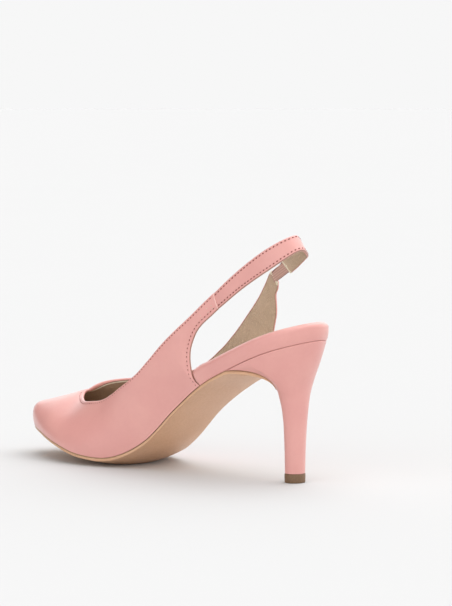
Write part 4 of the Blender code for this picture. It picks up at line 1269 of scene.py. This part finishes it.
def set_camera():
    """The camera of the photograph, low behind the outer side."""
    lens = bpy.data.cameras.new("studio_camera")
    lens.lens, lens.sensor_width = CAMERA_LENS, 36.0
    lens.clip_start, lens.clip_end = 0.05, 30
    camera = added("studio_camera", lens)
    level = math.cos(CAMERA_DOWN)
    ahead = Vector((math.cos(CAMERA_YAW) * level, math.sin(CAMERA_YAW) * level, -math.sin(CAMERA_DOWN)))
    right = Vector((math.sin(CAMERA_YAW), -math.cos(CAMERA_YAW), 0.0))
    turn = Matrix((right, right.cross(ahead), -ahead)).transposed().to_4x4()
    camera.matrix_world = Matrix.Translation(CAMERA_PLACE) @ turn
    bpy.context.scene.camera = camera


def set_studio():
    """A white room of soft light, brighter above and behind, over a pale floor."""
    world = bpy.data.worlds.new("studio_air")
    bpy.context.scene.world = world
    world.use_nodes = True
    tree = world.node_tree
    way = wire(tree, "ShaderNodeTexCoord").outputs["Generated"]
    light = ROOM
    for (ahead, side, up), start, full, power in SOFT_LIGHTS:
        place = Vector((*(AHEAD[k] * ahead + SIDE[k] * side for k in (0, 1)), up)).normalized()
        facing = wire(tree, "ShaderNodeVectorMath", {0: way, 1: tuple(place)}, operation="DOT_PRODUCT")
        glow = soft(tree, facing.outputs["Value"], start, full, 0.0, power)
        light = sums(tree, "ADD", light, glow)
    air = tree.nodes["Background"]
    air.inputs["Color"].default_value = (1.0, 1.0, 1.0, 1.0)
    tree.links.new(sums(tree, "MAXIMUM", light, DARKEST), air.inputs["Strength"])
    bpy.context.scene.view_settings.view_transform = "Standard"
    mesh = bpy.data.meshes.new("studio_floor")
    corners = [(x * FLOOR_HALF, y * FLOOR_HALF, 0.0) for x, y in ((-1, -1), (1, -1), (1, 1), (-1, 1))]
    mesh.from_pydata(corners, [], [(0, 1, 2, 3)])
    mesh.materials.append(floor_finish())
    floor = added("studio_floor", mesh)


set_camera()
set_studio()

LEATHER = pink_leather()
LINER = lining_leather()
COVER = plain_leather("pink_seat_cover_leather")
HEEL_PINK = plain_leather("pink_heel_cover_leather")
SOCK = sock_leather()
SOLE_TAN = sole_leather()
SOLE_BROWN = patchy_finish("brown_sole_edge", (0.36, 0.19, 0.10), 0.42, 0.45, (0.5, 3.0),
                           ((0.36, 0.20, 0.105), (0.46, 0.27, 0.15)), (0.36, 0.50), 0.05,
                           fine=(2.5, 2.0))
RUBBER = patchy_finish("brown_top_piece", (0.185, 0.105, 0.055), 0.52, 0.40, (1.6, 4.0, 0.7),
                       ((0.155, 0.086, 0.045), (0.225, 0.135, 0.075)), (0.45, 0.60), 0.08)
WEBBING = elastic_weave()
THREAD = thread_finish("pink_thread", (0.74, 0.37, 0.33))
# dark beads of painted shade for the needle holes
HOLE_SHADOWS = thread_finish("needle_hole_shade", (0.24, 0.062, 0.052), 0.8)
CREAM_THREAD = thread_finish("cream_thread", (0.74, 0.66, 0.52))

upper_lines, throat_line, upper_grid, upper_normal = make_upper()
sling_lines, sling_grid = make_sling()
make_elastic(sling_grid[0])
make_seat_cover()
make_sock()
make_outsole()
make_heel()
make_top_piece()
for part, lines, thick in (("upper", upper_lines, 1.0), ("sling", sling_lines, 1.2)):
    sew(part + "_stitches", lines, THREAD, (1.35, 0.48, 0.42))
    # painted shade of the needle holes beside the stitches
    sew(part + "_needle_hole_shadows", lines, HOLE_SHADOWS, (1.15 * thick, 0.68 * thick, 0.36 * thick),
        start=STITCH_PITCH / 2, slant=0.12)
# painted shade of the needle holes along the throat
sew("throat_needle_hole_shadows", throat_line, HOLE_SHADOWS, (0.62, 0.72, 0.34), 2.2 * MM)
marks = [(upper_grid[row, 7:last], upper_normal[row, 7:last]) for row, last in JOIN_MARKS]
sew("join_stitches", marks, CREAM_THREAD, (1.0, 0.34, 0.30), 2.9 * MM, slant=0.9, wander=0.5)
